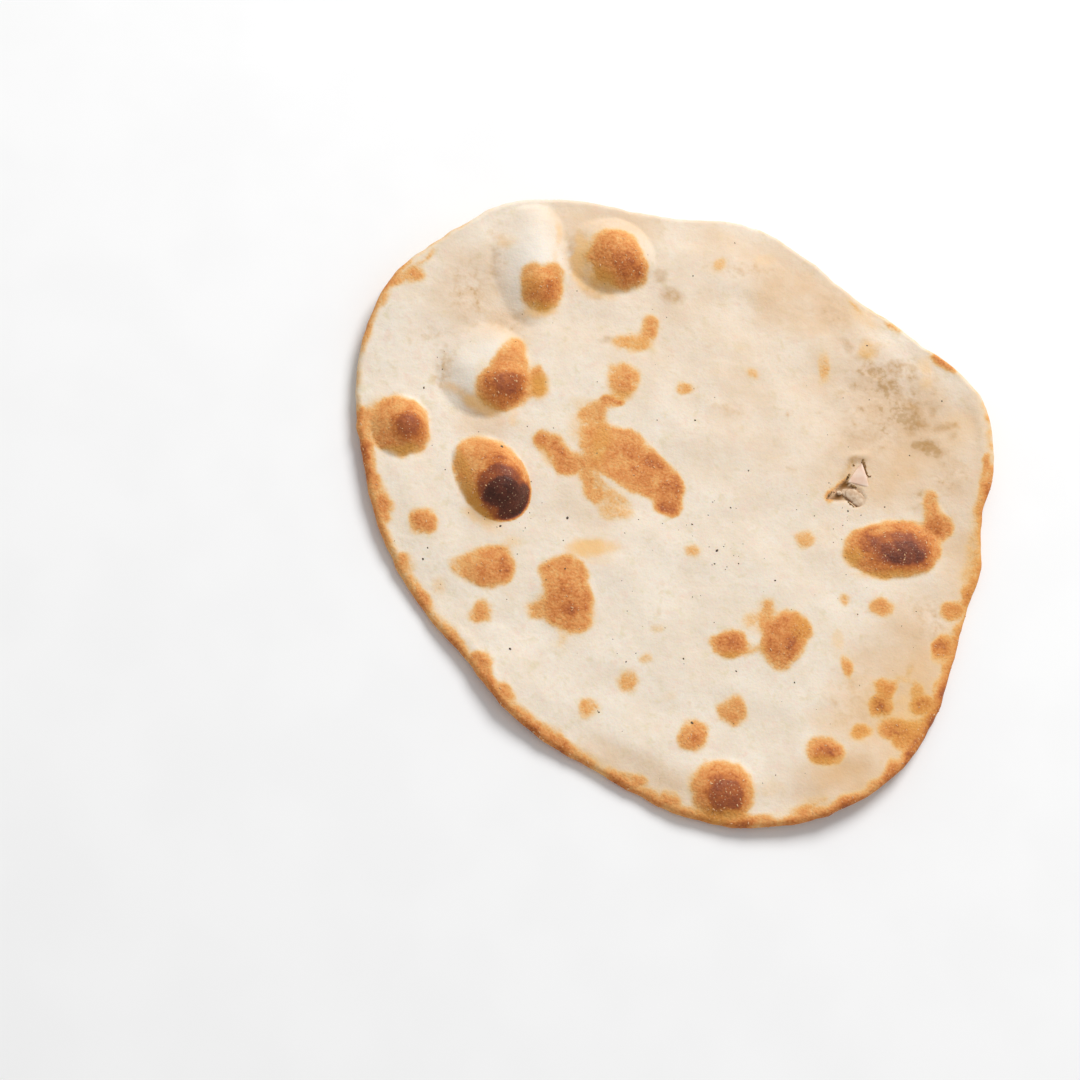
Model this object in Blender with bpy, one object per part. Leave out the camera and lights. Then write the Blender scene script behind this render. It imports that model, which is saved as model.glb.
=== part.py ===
"""A naan, baked on a tandoor wall: one thin sheet of leavened dough. Blender 4.5, metres, +Z up.

The bread lies on its underside with the blistered side up. Its outline is a smooth closed curve
through named reaches, its rim is rounded and lifts off the table in a few places, and steam has
raised blisters in the upper skin. The origin is on the table, below the middle of the outline.
+X and +Y run across the bread, with the large blisters near the rim at -X, +Y.
"""

from collections import namedtuple
from math import atan2, cos, degrees, exp, pi, radians, sin, sqrt

import bmesh
import bpy
from mathutils import Vector

# The sheet of dough.
MIDDLE_THICKNESS = 0.0044
RIM_THICKNESS = 0.0036
RIM_ROUNDING = 0.0020  # how far the rounded rim stands out past the flat faces
RIM_TAPER = 0.12  # share of the reach over which the sheet thins to the rim
RIM_MARGIN = 0.05  # share of the reach over which blisters and swells die out at the rim

# The outline: bearing in degrees from +X towards +Y, and reach from the origin to the rim.
OUTLINE = (
    (0, 0.1095),
    (10, 0.1170),
    (19, 0.1210),
    (29, 0.1180),
    (36, 0.1115),
    (43, 0.1100),
    (52, 0.1075),
    (66, 0.1120),
    (76, 0.1155),
    (89, 0.1120),
    (98, 0.1140),
    (108, 0.1205),
    (121, 0.1275),
    (134, 0.1290),
    (145, 0.1305),
    (160, 0.1240),
    (175, 0.1145),
    (190, 0.1080),
    (205, 0.1020),
    (218, 0.0985),
    (231, 0.1010),
    (252, 0.1030),
    (264, 0.1095),
    (279, 0.1170),
    (296, 0.1205),
    (311, 0.1180),
    (327, 0.1115),
    (340, 0.1075),
    (349, 0.1100),
)

# Places where the rim lifts off the table: bearing, height at the rim, and spread of each.
FLAT_SHARE = 0.62  # share of the reach that lies flat on the table
Lift = namedtuple("Lift", "bearing height spread")
RIM_LIFTS = (
    Lift(bearing=130, height=0.0060, spread=30),
    Lift(bearing=25, height=0.0045, spread=24),
    Lift(bearing=300, height=0.0035, spread=20),
    Lift(bearing=228, height=0.0020, spread=14),
    Lift(bearing=180, height=0.0015, spread=15),
)

# Blisters: centre, length and width, the length's turn from +X in degrees, and height.
BLISTER_FALL = 1.25  # how softly a blister meets the sheet: 1 is a sharp crease
Blister = namedtuple("Blister", "at length width turn height")
BLISTERS = (
    Blister(at=(-0.0727, 0.0452), length=0.037, width=0.033, turn=83, height=0.0062),
    Blister(at=(-0.0567, 0.0883), length=0.044, width=0.028, turn=87, height=0.0056),
    Blister(at=(-0.0250, 0.0923), length=0.032, width=0.029, turn=63, height=0.0058),
    Blister(at=(-0.1025, 0.0217), length=0.025, width=0.023, turn=0, height=0.0048),
    Blister(at=(-0.0688, 0.0042), length=0.033, width=0.029, turn=93, height=0.0080),
    Blister(at=(0.0755, -0.0132), length=0.036, width=0.023, turn=7, height=0.0026),
    Blister(at=(0.0105, -0.1025), length=0.024, width=0.021, turn=14, height=0.0024),
    Blister(at=(0.0346, -0.0489), length=0.021, width=0.018, turn=75, height=0.0010),
    Blister(at=(-0.0433, -0.0365), length=0.028, width=0.023, turn=83, height=0.0010),
    Blister(at=(-0.0210, 0.0125), length=0.042, width=0.027, turn=-39, height=0.0010),
)

# A small hole torn through the upper skin, which only dents the crumb below it.
TEAR = Blister(at=(0.0620, 0.0120), length=0.018, width=0.014, turn=18, height=-0.0016)

# Long shallow swells left by stretching the dough by hand: wavelength, bearing, height.
Swell = namedtuple("Swell", "wavelength bearing height")
SWELLS = (
    Swell(wavelength=0.083, bearing=25, height=0.00035),
    Swell(wavelength=0.061, bearing=118, height=0.00030),
)

# The mesh: a square grid pressed into the outline, finer towards the large blisters.
GRID_CELLS = 48
CROWDING = 0.17  # 0 is an even grid
RIM_ROWS = 4

CRUST_COLOUR = (0.80, 0.63, 0.43, 1.0)
CRUST_ROUGHNESS = 0.75


def turn_between(bearing, other):
    """The signed angle in degrees from other to bearing, from -180 to 180."""
    return (bearing - other + 180) % 360 - 180


def outline_reach(bearing):
    """The distance from the origin to the rim: a smooth closed curve through OUTLINE."""
    count = len(OUTLINE)
    start = max(
        (index for index in range(count) if OUTLINE[index][0] <= bearing % 360),
        default=-1,
    )
    before, here, after, beyond = (
        (turn_between(OUTLINE[(start + step) % count][0], bearing), OUTLINE[(start + step) % count][1])
        for step in (-1, 0, 1, 2)
    )
    gap = after[0] - here[0]
    share = -here[0] / gap
    rise_here = (after[1] - before[1]) / (after[0] - before[0]) * gap
    rise_after = (beyond[1] - here[1]) / (beyond[0] - here[0]) * gap
    square, cube = share**2, share**3
    return (
        (2 * cube - 3 * square + 1) * here[1]
        + (cube - 2 * square + share) * rise_here
        + (3 * square - 2 * cube) * after[1]
        + (cube - square) * rise_after
    )


def rim_lift(bearing, share):
    """The underside's height over the table, at a share of the way from the middle to the rim."""
    past_flat = max(0.0, (share - FLAT_SHARE) / (1 - FLAT_SHARE))
    at_rim = sum(
        lift.height * exp(-((turn_between(bearing, lift.bearing) / lift.spread) ** 2))
        for lift in RIM_LIFTS
    )
    return at_rim * past_flat**2


def sheet_thickness(share):
    """The plain sheet's thickness, which falls off smoothly towards the rim."""
    inward = min(1.0, (1 - share) / RIM_TAPER)
    return RIM_THICKNESS + (MIDDLE_THICKNESS - RIM_THICKNESS) * inward * (2 - inward)


def dome(blister, x, y):
    """The height that one blister, or the tear, adds to the upper skin."""
    turn = radians(blister.turn)
    dx, dy = x - blister.at[0], y - blister.at[1]
    along = (dx * cos(turn) + dy * sin(turn)) / (blister.length / 2)
    across = (dy * cos(turn) - dx * sin(turn)) / (blister.width / 2)
    return blister.height * max(0.0, 1 - along**2 - across**2) ** BLISTER_FALL


def swell_height(x, y):
    """The height that the shallow swells add to the upper skin."""
    return sum(
        swell.height
        * sin(
            2 * pi * (x * cos(radians(swell.bearing)) + y * sin(radians(swell.bearing)))
            / swell.wavelength
        )
        for swell in SWELLS
    )


def crowded(place):
    """A grid place from -1 to 1, moved so that cells are smaller near -1."""
    return place + CROWDING * (place**2 - 1)


def baked_point(column, row, level):
    """Where a point of the plain slab ends up on the bread.

    column and row run from -1 to 1 over the slab, and level from 0 on its upper face to 1 on its
    underside, with the rim's rows in between.
    """
    across, along = crowded(column), -crowded(-row)
    disc = Vector((across * sqrt(1 - along**2 / 2), along * sqrt(1 - across**2 / 2)))
    share = min(1.0, disc.length)
    bearing = degrees(atan2(disc.y, disc.x))
    distance = (outline_reach(bearing) - RIM_ROUNDING) * share + RIM_ROUNDING * sin(pi * level)
    x, y = distance * cos(radians(bearing)), distance * sin(radians(bearing))
    height = rim_lift(bearing, share) + sheet_thickness(share) * (1 + cos(pi * level)) / 2
    if level == 0:
        relief = swell_height(x, y) + sum(dome(blister, x, y) for blister in (*BLISTERS, TEAR))
        height += relief * min(1.0, (1 - share) / RIM_MARGIN)
    return Vector((x, y, height))


def slab():
    """A square slab, 2 wide and 1 thick, with the bread's grid on both faces and rows on its rim."""
    mesh = bmesh.new()
    bmesh.ops.create_grid(mesh, x_segments=GRID_CELLS, y_segments=GRID_CELLS, size=1.0)
    upper = set(mesh.verts)
    sheet = mesh.verts[:] + mesh.edges[:] + mesh.faces[:]
    grown = bmesh.ops.extrude_face_region(mesh, geom=sheet, use_keep_orig=True)["geom"]
    lower = {item for item in grown if isinstance(item, bmesh.types.BMVert)}
    for vertex in lower:
        vertex.co.z = 1.0
    rim = [edge for edge in mesh.edges if len(set(edge.verts) & upper) == 1]
    bmesh.ops.subdivide_edges(mesh, edges=rim, cuts=RIM_ROWS - 1, use_grid_fill=True)
    return mesh


def crust_material():
    """Matte baked dough."""
    material = bpy.data.materials.new("baked_dough")
    material.use_nodes = True
    shader = material.node_tree.nodes["Principled BSDF"]
    shader.inputs["Base Color"].default_value = CRUST_COLOUR
    shader.inputs["Roughness"].default_value = CRUST_ROUGHNESS
    shader.inputs["Metallic"].default_value = 0.0
    material.diffuse_color = CRUST_COLOUR
    return material


def build_naan():
    """The bread: the slab pressed into its baked shape and centred over the origin."""
    shape = slab()
    for vertex in shape.verts:
        vertex.co = baked_point(*vertex.co)
    low, high = (
        Vector([pick(vertex.co[axis] for vertex in shape.verts) for axis in range(3)])
        for pick in (min, max)
    )
    middle = (low + high) / 2
    bmesh.ops.translate(shape, verts=shape.verts[:], vec=(-middle.x, -middle.y, 0.0))
    bmesh.ops.recalc_face_normals(shape, faces=shape.faces[:])
    bmesh.ops.triangulate(shape, faces=shape.faces[:])
    mesh = bpy.data.meshes.new("naan")
    shape.to_mesh(mesh)
    shape.free()
    mesh.shade_smooth()
    mesh.materials.append(crust_material())
    naan = bpy.data.objects.new("naan", mesh)
    bpy.context.scene.collection.objects.link(naan)
    return naan


def main():
    for item in list(bpy.data.objects):
        bpy.data.objects.remove(item, do_unlink=True)
    build_naan()


main()
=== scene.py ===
"""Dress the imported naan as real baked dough: skin relief, scorched blisters, rim, specks and studio.

The bread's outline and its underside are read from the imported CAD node. On top of them this script
makes a dense skin with blisters, a torn spot and handmade unevenness, and works out from named
dabs of heat how far each point of the skin is browned. All sizes here are in millimetres in the
bread's own frame (+X right, +Y away, +Z up, origin on the table below the middle of the outline);
MM turns them into the metres that Blender and the frame use.
"""

import logging
import math
from dataclasses import dataclass, field
from enum import Enum
from functools import reduce
from typing import Any

import bmesh
import bpy
import numpy as np
from mathutils import Matrix, Vector
from mathutils.bvhtree import BVHTree


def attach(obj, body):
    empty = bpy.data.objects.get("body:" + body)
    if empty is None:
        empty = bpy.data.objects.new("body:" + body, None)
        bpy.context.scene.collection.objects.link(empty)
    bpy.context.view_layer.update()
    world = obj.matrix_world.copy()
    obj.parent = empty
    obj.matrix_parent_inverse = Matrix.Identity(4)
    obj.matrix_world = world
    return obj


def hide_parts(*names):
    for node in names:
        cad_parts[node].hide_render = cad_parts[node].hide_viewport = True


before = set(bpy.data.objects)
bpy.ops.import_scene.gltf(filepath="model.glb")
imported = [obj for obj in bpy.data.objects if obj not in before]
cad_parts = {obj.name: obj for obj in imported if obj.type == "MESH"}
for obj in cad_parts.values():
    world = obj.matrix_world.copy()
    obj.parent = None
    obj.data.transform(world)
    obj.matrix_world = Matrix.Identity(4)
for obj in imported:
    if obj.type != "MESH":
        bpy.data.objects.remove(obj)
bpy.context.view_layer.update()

MM = 0.001
NODE = "naan"
BODY = "root"
DOWN = (0.0, 0.0, -1.0)
OVERHEAD = 50.0  # a height well over the bread

Array = np.ndarray
Socket = bpy.types.NodeSocket
Layers = tuple[tuple[float, float, int], ...]  # noises, each by its size, height and seed
Span = tuple[float, float]  # from and to
Ramp = tuple[float, ...]  # from and to, and the values there if they aren't 0 and 1
log = logging.getLogger("naan")


# ---------------------------------------------------------------- helpers


def srgb(code: str) -> tuple[float, float, float, float]:
    """Turn an sRGB hex colour into the linear values that shaders take.

    Args:
        code: the colour, such as "#efdec9".

    Returns:
        Linear red, green and blue, and an alpha of 1.
    """
    parts = [int(code[start : start + 2], 16) / 255 for start in (1, 3, 5)]
    linear = [part / 12.92 if part <= 0.04045 else ((part + 0.055) / 1.055) ** 2.4 for part in parts]
    return (linear[0], linear[1], linear[2], 1.0)


def smoothstep(low: float, high: float, value: Array) -> Array:
    """Rise smoothly from 0 at low to 1 at high.

    Args:
        low: where the rise starts.
        high: where it ends.
        value: the values to map.

    Returns:
        The mapped values.
    """
    share = np.clip((value - low) / (high - low), 0.0, 1.0)
    return share * share * (3.0 - 2.0 * share)


def dough_noise(x: Array, y: Array, size: float, seed: int) -> Array:
    """Smooth random unevenness over the plan of the bread.

    Args:
        x: places along X.
        y: places along Y, of the same shape.
        size: the distance between neighbouring random values.
        seed: picks the random values and the direction of their lattice.

    Returns:
        Values from -1 to 1, of the same shape.
    """
    lattice = 256
    values = np.random.default_rng(seed).uniform(-1.0, 1.0, (lattice, lattice))
    turn = 0.7 * seed + 0.3
    column = (x * math.cos(turn) + y * math.sin(turn)) / size + lattice / 2
    row = (y * math.cos(turn) - x * math.sin(turn)) / size + lattice / 2
    i, j = np.floor(column).astype(int), np.floor(row).astype(int)
    a, b = smoothstep(0.0, 1.0, column - i), smoothstep(0.0, 1.0, row - j)
    near = values[i % lattice, j % lattice] * (1 - b) + values[i % lattice, (j + 1) % lattice] * b
    far = (
        values[(i + 1) % lattice, j % lattice] * (1 - b)
        + values[(i + 1) % lattice, (j + 1) % lattice] * b
    )
    return near * (1 - a) + far * a


def unevenness(x: Array, y: Array, layers: Layers) -> Array:
    """Add up layers of dough noise.

    Args:
        x: places along X.
        y: places along Y, of the same shape.
        layers: the size, height and seed of each.

    Returns:
        The sum at each place.
    """
    return sum(height * dough_noise(x, y, size, seed) for size, height, seed in layers)


def feed(node: bpy.types.Node, inputs: dict[str | int, Any]) -> None:
    """Give a node its constants and links.

    Args:
        node: the node.
        inputs: input name or index to a constant, or to the output socket that feeds it.
    """
    for key, value in inputs.items():
        if isinstance(value, Socket):
            node.id_data.links.new(value, node.inputs[key])
        else:
            node.inputs[key].default_value = value


def add_node(tree: bpy.types.NodeTree, kind: str, inputs: dict | None = None, **settings: Any) -> Any:
    """Add a node to a tree, with its settings, constants and links.

    Args:
        tree: the shader or geometry tree.
        kind: the node's type name.
        inputs: what it is fed.
        settings: the node's own properties.

    Returns:
        The new node.
    """
    node = tree.nodes.new(kind)
    for name, value in settings.items():
        setattr(node, name, value)
    feed(node, inputs or {})
    return node


def add_piece(name: str, mesh: bpy.types.Mesh) -> bpy.types.Object:
    """Link a mesh into the scene as an object at the origin.

    Args:
        name: the piece's name.
        mesh: its finished mesh.

    Returns:
        The object.
    """
    piece = bpy.data.objects.new(name, mesh)
    bpy.context.scene.collection.objects.link(piece)
    return piece


def grown_mesh(base: bpy.types.Mesh, tree: bpy.types.NodeTree, values: dict[str, Any]) -> bpy.types.Mesh:
    """Run a geometry tree on a mesh and keep what it makes as a plain mesh.

    Args:
        base: the mesh that the tree starts from.
        tree: the geometry tree.
        values: the tree's named inputs.

    Returns:
        The plain mesh.
    """
    carrier = add_piece("carrier", base)
    modifier = carrier.modifiers.new("tree", "NODES")
    modifier.node_group = tree
    for item in tree.interface.items_tree:
        if item.item_type == "SOCKET" and item.in_out == "INPUT" and item.name in values:
            modifier[item.identifier] = values[item.name]
    evaluated = carrier.evaluated_get(bpy.context.evaluated_depsgraph_get())
    mesh = bpy.data.meshes.new_from_object(evaluated)
    carrier.modifiers.remove(modifier)
    bpy.data.objects.remove(carrier, do_unlink=True)
    return mesh


def open_tree(name: str, floats: tuple[str, ...]) -> tuple[bpy.types.NodeTree, Any]:
    """Start a geometry tree with a mesh, named sizes, a seed and a material as its inputs.

    Args:
        name: the tree's name.
        floats: the names of its sizes.

    Returns:
        The tree and its input node.
    """
    tree = bpy.data.node_groups.new(name, "GeometryNodeTree")
    tree.interface.new_socket("Geometry", in_out="INPUT", socket_type="NodeSocketGeometry")
    for size in floats:
        tree.interface.new_socket(size, in_out="INPUT", socket_type="NodeSocketFloat")
    tree.interface.new_socket("Seed", in_out="INPUT", socket_type="NodeSocketInt")
    tree.interface.new_socket("Material", in_out="INPUT", socket_type="NodeSocketMaterial")
    tree.interface.new_socket("Geometry", in_out="OUTPUT", socket_type="NodeSocketGeometry")
    return tree, tree.nodes.new("NodeGroupInput")


def close_tree(tree: bpy.types.NodeTree, geometry: Socket, material: Socket) -> None:
    """End a geometry tree with real geometry that carries its material.

    Args:
        tree: the tree.
        geometry: the socket with what the tree made.
        material: the socket with the material.
    """
    real = add_node(tree, "GeometryNodeRealizeInstances", {"Geometry": geometry})
    dressed = add_node(
        tree, "GeometryNodeSetMaterial", {"Geometry": real.outputs[0], "Material": material}
    )
    add_node(tree, "NodeGroupOutput", {"Geometry": dressed.outputs[0]})


def sprinkle(grains: dict[str, Socket], seed: Socket, tumble: float) -> Socket:
    """Put a grain on each point, spun at random about the skin's normal.

    Args:
        grains: the sockets with the points, the instance, its rotation and its scale, by their names.
        seed: the socket with the random seed.
        tumble: the largest tilt off the normal, in radians.

    Returns:
        The socket with the instances.
    """
    tree = seed.id_data
    limits = {0: (0.0, 0.0, 0.0), 1: (tumble, tumble, math.tau), "Seed": seed}
    spin = add_node(tree, "FunctionNodeRandomValue", limits, data_type="FLOAT_VECTOR")
    turns = {"Rotation": grains["Rotation"], "Rotate By": spin.outputs[0]}
    spun = add_node(tree, "FunctionNodeRotateRotation", turns, rotation_space="LOCAL")
    return add_node(
        tree, "GeometryNodeInstanceOnPoints", grains | {"Rotation": spun.outputs[0]}
    ).outputs[0]


# ---------------------------------------------------------------- what the heat did to the skin


class Mark(Enum):
    """The soft marks on the skin, each carrying painted shade in part or in whole, each by the name of its
    attribute.
    """

    GLOW = "glow"  # a golden tint where the heat only just reached, and painted warm shade in the creases at blister feet
    STAIN = "stain"  # olive blotches on thin dough, and painted crease shade at blister feet and round the tear's pucker
    TOAST = "toast"  # beige where the heat only tinted the skin, and painted shade that darkens the right half
    THIN = "thin"  # dough stretched so thin that it looks damp and beige, and painted shade on the blisters' shaded left flanks
    HOLLOW = "hollow"  # painted shade deep inside the torn spot


SQUARENESS = 2.2  # of a dab's outline: 2 is an ellipse


@dataclass(frozen=True)
class Dab:
    """One oval dab of a mark: centre, full length and width, turn from +X in degrees, and tone."""

    x: float
    y: float
    length: float
    width: float
    turn: float
    tone: float

    def measure(self, x: Array, y: Array) -> tuple[Array, Array]:
        """Measure points against the oval.

        Args:
            x: places along X.
            y: places along Y.

        Returns:
            The share of the way from the oval's centre to its edge, and the depth inside the edge.
        """
        turn = math.radians(self.turn)
        dx, dy = x - self.x, y - self.y
        along = np.abs(dx * math.cos(turn) + dy * math.sin(turn)) / (self.length / 2)
        across = np.abs(dy * math.cos(turn) - dx * math.sin(turn)) / (self.width / 2)
        share = (along**SQUARENESS + across**SQUARENESS) ** (1 / SQUARENESS) + 1e-6
        away = np.hypot(dx, dy)
        return share, (away + 1e-6 * self.width / 2) / share - away


CHARRED = "charred"  # the tallest blister, whose char ends sharply at its foot

SCORCHES: dict[str, tuple[Dab, ...]] = {
    CHARRED: (
        Dab(-68.6, 5, 32, 23.5, -60, 0.35), Dab(-65.5, 4, 24.5, 21, -35, 0.48),
        Dab(-64.5, 5, 18, 13, -25, 0.6), Dab(-65.2, -0.5, 22.5, 17, -20, 0.75),
        Dab(-63.8, -3.6, 19, 13.5, -15, 0.9), Dab(-67.5, -6.5, 12, 9, -45, 0.7),
        Dab(-71.5, 2.5, 8.5, 7, -70, 0.7), Dab(-56.3, -2.5, 13, 7.5, 85, 0.89),
        Dab(-60.8, -7, 12, 6.5, -5, 0.9), Dab(-63.8, -6.3, 14, 9.5, -40, 0.88),
    ),
    "first_white_blister": (
        Dab(-65, 37.5, 18.5, 13.5, 10, 0.56), Dab(-63.5, 38, 14.5, 11, 20, 0.67),
        Dab(-63, 46.5, 16, 12.5, 65, 0.42), Dab(-60, 54, 10, 6.5, 70, 0.32),
        Dab(-52.5, 42.5, 13, 6.5, 90, 0.32), Dab(-72, 38, 6.5, 6, -50, 0.3),
    ),
    "second_white_blister": (
        Dab(-50.5, 77.5, 16.5, 14, 45, 0.44), Dab(-51, 75.5, 12, 9.5, 25, 0.56),
        Dab(-55, 81.5, 7, 6.5, -85, 0.36), Dab(-47, 83, 8.5, 6, 45, 0.36),
    ),
    "top_blister": (
        Dab(-23.5, 91.5, 22.5, 20.5, -55, 0.43), Dab(-20.5, 88, 14.5, 12, 5, 0.58),
        Dab(-19, 86.5, 9, 6, 20, 0.63),
    ),
    "left_blister": (
        Dab(-100.5, 21.5, 22, 18.5, 80, 0.42), Dab(-99, 20, 15, 14, 0, 0.58),
        Dab(-98.8, 20, 10.5, 10, 0, 0.72), Dab(-110.5, 21, 12.5, 9, -90, 0.34),
        Dab(-114, 21, 13.5, 4, -90, 0.42),
    ),
    "left_rim": (
        Dab(-112, 9.5, 17.5, 5.5, -80, 0.5), Dab(-109, -0.5, 10, 4, -80, 0.38),
        Dab(-105.5, -9, 11, 6, -90, 0.4), Dab(-98.5, -29, 8.5, 7, -70, 0.36),
    ),
    "left_spots": (
        Dab(-92, -13, 9.5, 8.5, 15, 0.38), Dab(-91, -14, 5.5, 5, 15, 0.46),
        Dab(-68, -28, 14.5, 14.5, 15, 0.46), Dab(-64, -27.5, 9.5, 5.5, 90, 0.56),
        Dab(-72, -28, 13, 11.5, 10, 0.33), Dab(-79, -28, 6, 5.5, 10, 0.24),
        Dab(-71.5, -44, 8, 7, 85, 0.38), Dab(-61, -18.5, 5.5, 4.5, 10, 0.15),
        Dab(-85.5, -35.5, 6.5, 5.5, 85, 0.15),
    ),
    "square_patch": (
        Dab(-43, -30, 16.5, 16, 80, 0.42), Dab(-42, -40, 17.5, 16, 20, 0.48),
        Dab(-52.5, -42.5, 7, 6.5, 10, 0.38), Dab(-39, -46, 12, 7, 5, 0.44),
        Dab(-41.5, -41.5, 8, 7.5, 0, 0.64), Dab(-44, -53.5, 6.5, 3.5, 90, 0.17),
    ),
    "smear": (
        Dab(-47.5, 20, 10, 6.5, -5, 0.46), Dab(-50.5, 19.5, 5, 4, 15, 0.56),
        Dab(-44, 16, 8, 7, -50, 0.44), Dab(-41.5, 12, 10, 8.5, 5, 0.42),
        Dab(-37, 12.5, 7, 5.5, 85, 0.34),
    ),
    "large_patch": (
        Dab(-38, 36, 6, 4.5, 10, 0.16), Dab(-32.5, 31.5, 10, 9, 70, 0.34),
        Dab(-25.5, 36.5, 9.5, 4, 5, 0.44), Dab(-25, 23, 24, 9.5, -10, 0.38),
        Dab(-30, 18.5, 17, 13, 85, 0.38), Dab(-20.5, 13.5, 24, 19.5, -35, 0.44),
        Dab(-13.5, 11, 19, 15.5, -50, 0.52), Dab(-5.5, 3.5, 16.5, 10.5, -85, 0.54),
        Dab(-5, -2.5, 9.5, 4.5, 10, 0.6), Dab(-33.5, 4.5, 16, 6.5, -65, 0.34),
        Dab(-26.5, 2.5, 17, 9, -40, 0.24), Dab(-24, -5.5, 13, 6, 5, 0.2),
    ),
    "middle_spots": (
        Dab(-21, 45.5, 14, 11.5, 80, 0.36), Dab(-21.5, 44, 5, 4.5, 25, 0.44),
        Dab(-11, 67, 10, 6.5, 85, 0.34), Dab(-17, 60.5, 16, 6.5, 0, 0.32),
        Dab(70.5, -34.5, 8, 6.5, -25, 0.38), Dab(-21, -65.5, 7.5, 7, 20, 0.3),
        Dab(-34.5, -76, 7.5, 7, 20, 0.3),
    ),
    "dark_blister": (
        Dab(75.8, -12.8, 34.5, 20, 10, 0.45), Dab(75.5, -13.5, 31, 17.5, 5, 0.6),
        Dab(76.8, -13.5, 25, 16.5, 0, 0.7), Dab(78.3, -14.8, 19, 12, 0, 0.79),
        Dab(90.5, 3.5, 12.5, 6, 85, 0.4), Dab(93, -3.5, 10.5, 8.5, 15, 0.5),
    ),
    "lower_patch": (
        Dab(36, -45.5, 16, 13, 15, 0.48), Dab(33.5, -51.5, 14.5, 12.5, 30, 0.52),
        Dab(32, -55.5, 9, 8.5, 75, 0.5), Dab(36, -51.5, 7.5, 6.5, 20, 0.58),
        Dab(28.5, -39, 10.5, 5.5, 85, 0.28), Dab(23, -42.5, 6, 5, 20, 0.24),
        Dab(29, -43.5, 7, 5, 10, 0.34), Dab(15, -51.5, 12.5, 9, 15, 0.5),
        Dab(15.5, -51.5, 7, 5.5, 15, 0.62), Dab(24, -53, 6.5, 3.5, 5, 0.18),
    ),
    "lower_spots": (
        Dab(15.5, -74.5, 10.5, 9, 45, 0.38), Dab(1, -84.5, 11, 10, 65, 0.42),
        Dab(1.5, -85.5, 6.5, 6, 45, 0.5), Dab(46.5, -87.5, 12, 8.5, 5, 0.38),
        Dab(47.5, -88.5, 9.5, 7, 5, 0.56), Dab(48.5, -89, 7, 5.5, 10, 0.67),
        Dab(60.5, -81, 6.5, 4.5, 25, 0.32),
    ),
    "bottom_blister": (
        Dab(10.5, -102.5, 22, 19, 10, 0.42), Dab(10.5, -103.5, 18.5, 16, 5, 0.56),
        Dab(11, -105, 15, 13, 5, 0.73),
    ),
    "right_rim": (
        Dab(92.5, -49.5, 8.5, 6.5, 70, 0.5), Dab(103, -27.5, 14, 4, 70, 0.46),
        Dab(97, -35, 8.5, 5, -5, 0.36), Dab(111.5, 18, 14, 3.5, 80, 0.38),
        Dab(86.5, -71, 11, 5, 60, 0.38), Dab(78.5, -86, 11.5, 4.5, 55, 0.6),
        Dab(71.5, -93.5, 6.5, 6, -40, 0.56),
    ),
    "upper_rim": (
        Dab(98.5, 59, 11.5, 3.5, -40, 0.44), Dab(80.5, 73.5, 7.5, 3, -35, 0.26),
        Dab(66.5, 81.5, 6.5, 2.5, -45, 0.2), Dab(-108, 69, 7.5, 3.5, 65, 0.34),
        Dab(-103, 76, 7.5, 3.5, 45, 0.34), Dab(-96.5, 78.5, 6.5, 6, 30, 0.32),
        Dab(-93.5, 85, 10.5, 2.5, 45, 0.2),
    ),
    "lower_rim": (
        Dab(-71.5, -63, 8.5, 8.5, 0, 0.46), Dab(-64, -72.5, 6.5, 6.5, 0, 0.4),
        Dab(-61, -79, 6, 5.5, 85, 0.4), Dab(-54, -85.5, 9.5, 5.5, -35, 0.44),
        Dab(-40, -92.5, 6, 5.5, 15, 0.36), Dab(-20.5, -100, 11, 5, -10, 0.36),
        Dab(-7.5, -107, 8, 5, -15, 0.42),
    ),
    "hidden_rim": (
        Dab(61.5, -104, 11, 4.5, 30, 0.46), Dab(49, -110.5, 11.5, 4, 20, 0.42),
        Dab(33.5, -113.5, 10, 4, 10, 0.44), Dab(43.5, -105.5, 7, 3.5, 15, 0.22),
    ),
    "tear_corners": (
        Dab(53.8, 6, 4, 3, 55, 0.66), Dab(58, 10.8, 8.5, 1.6, 48, 0.5),
    ),
}

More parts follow.
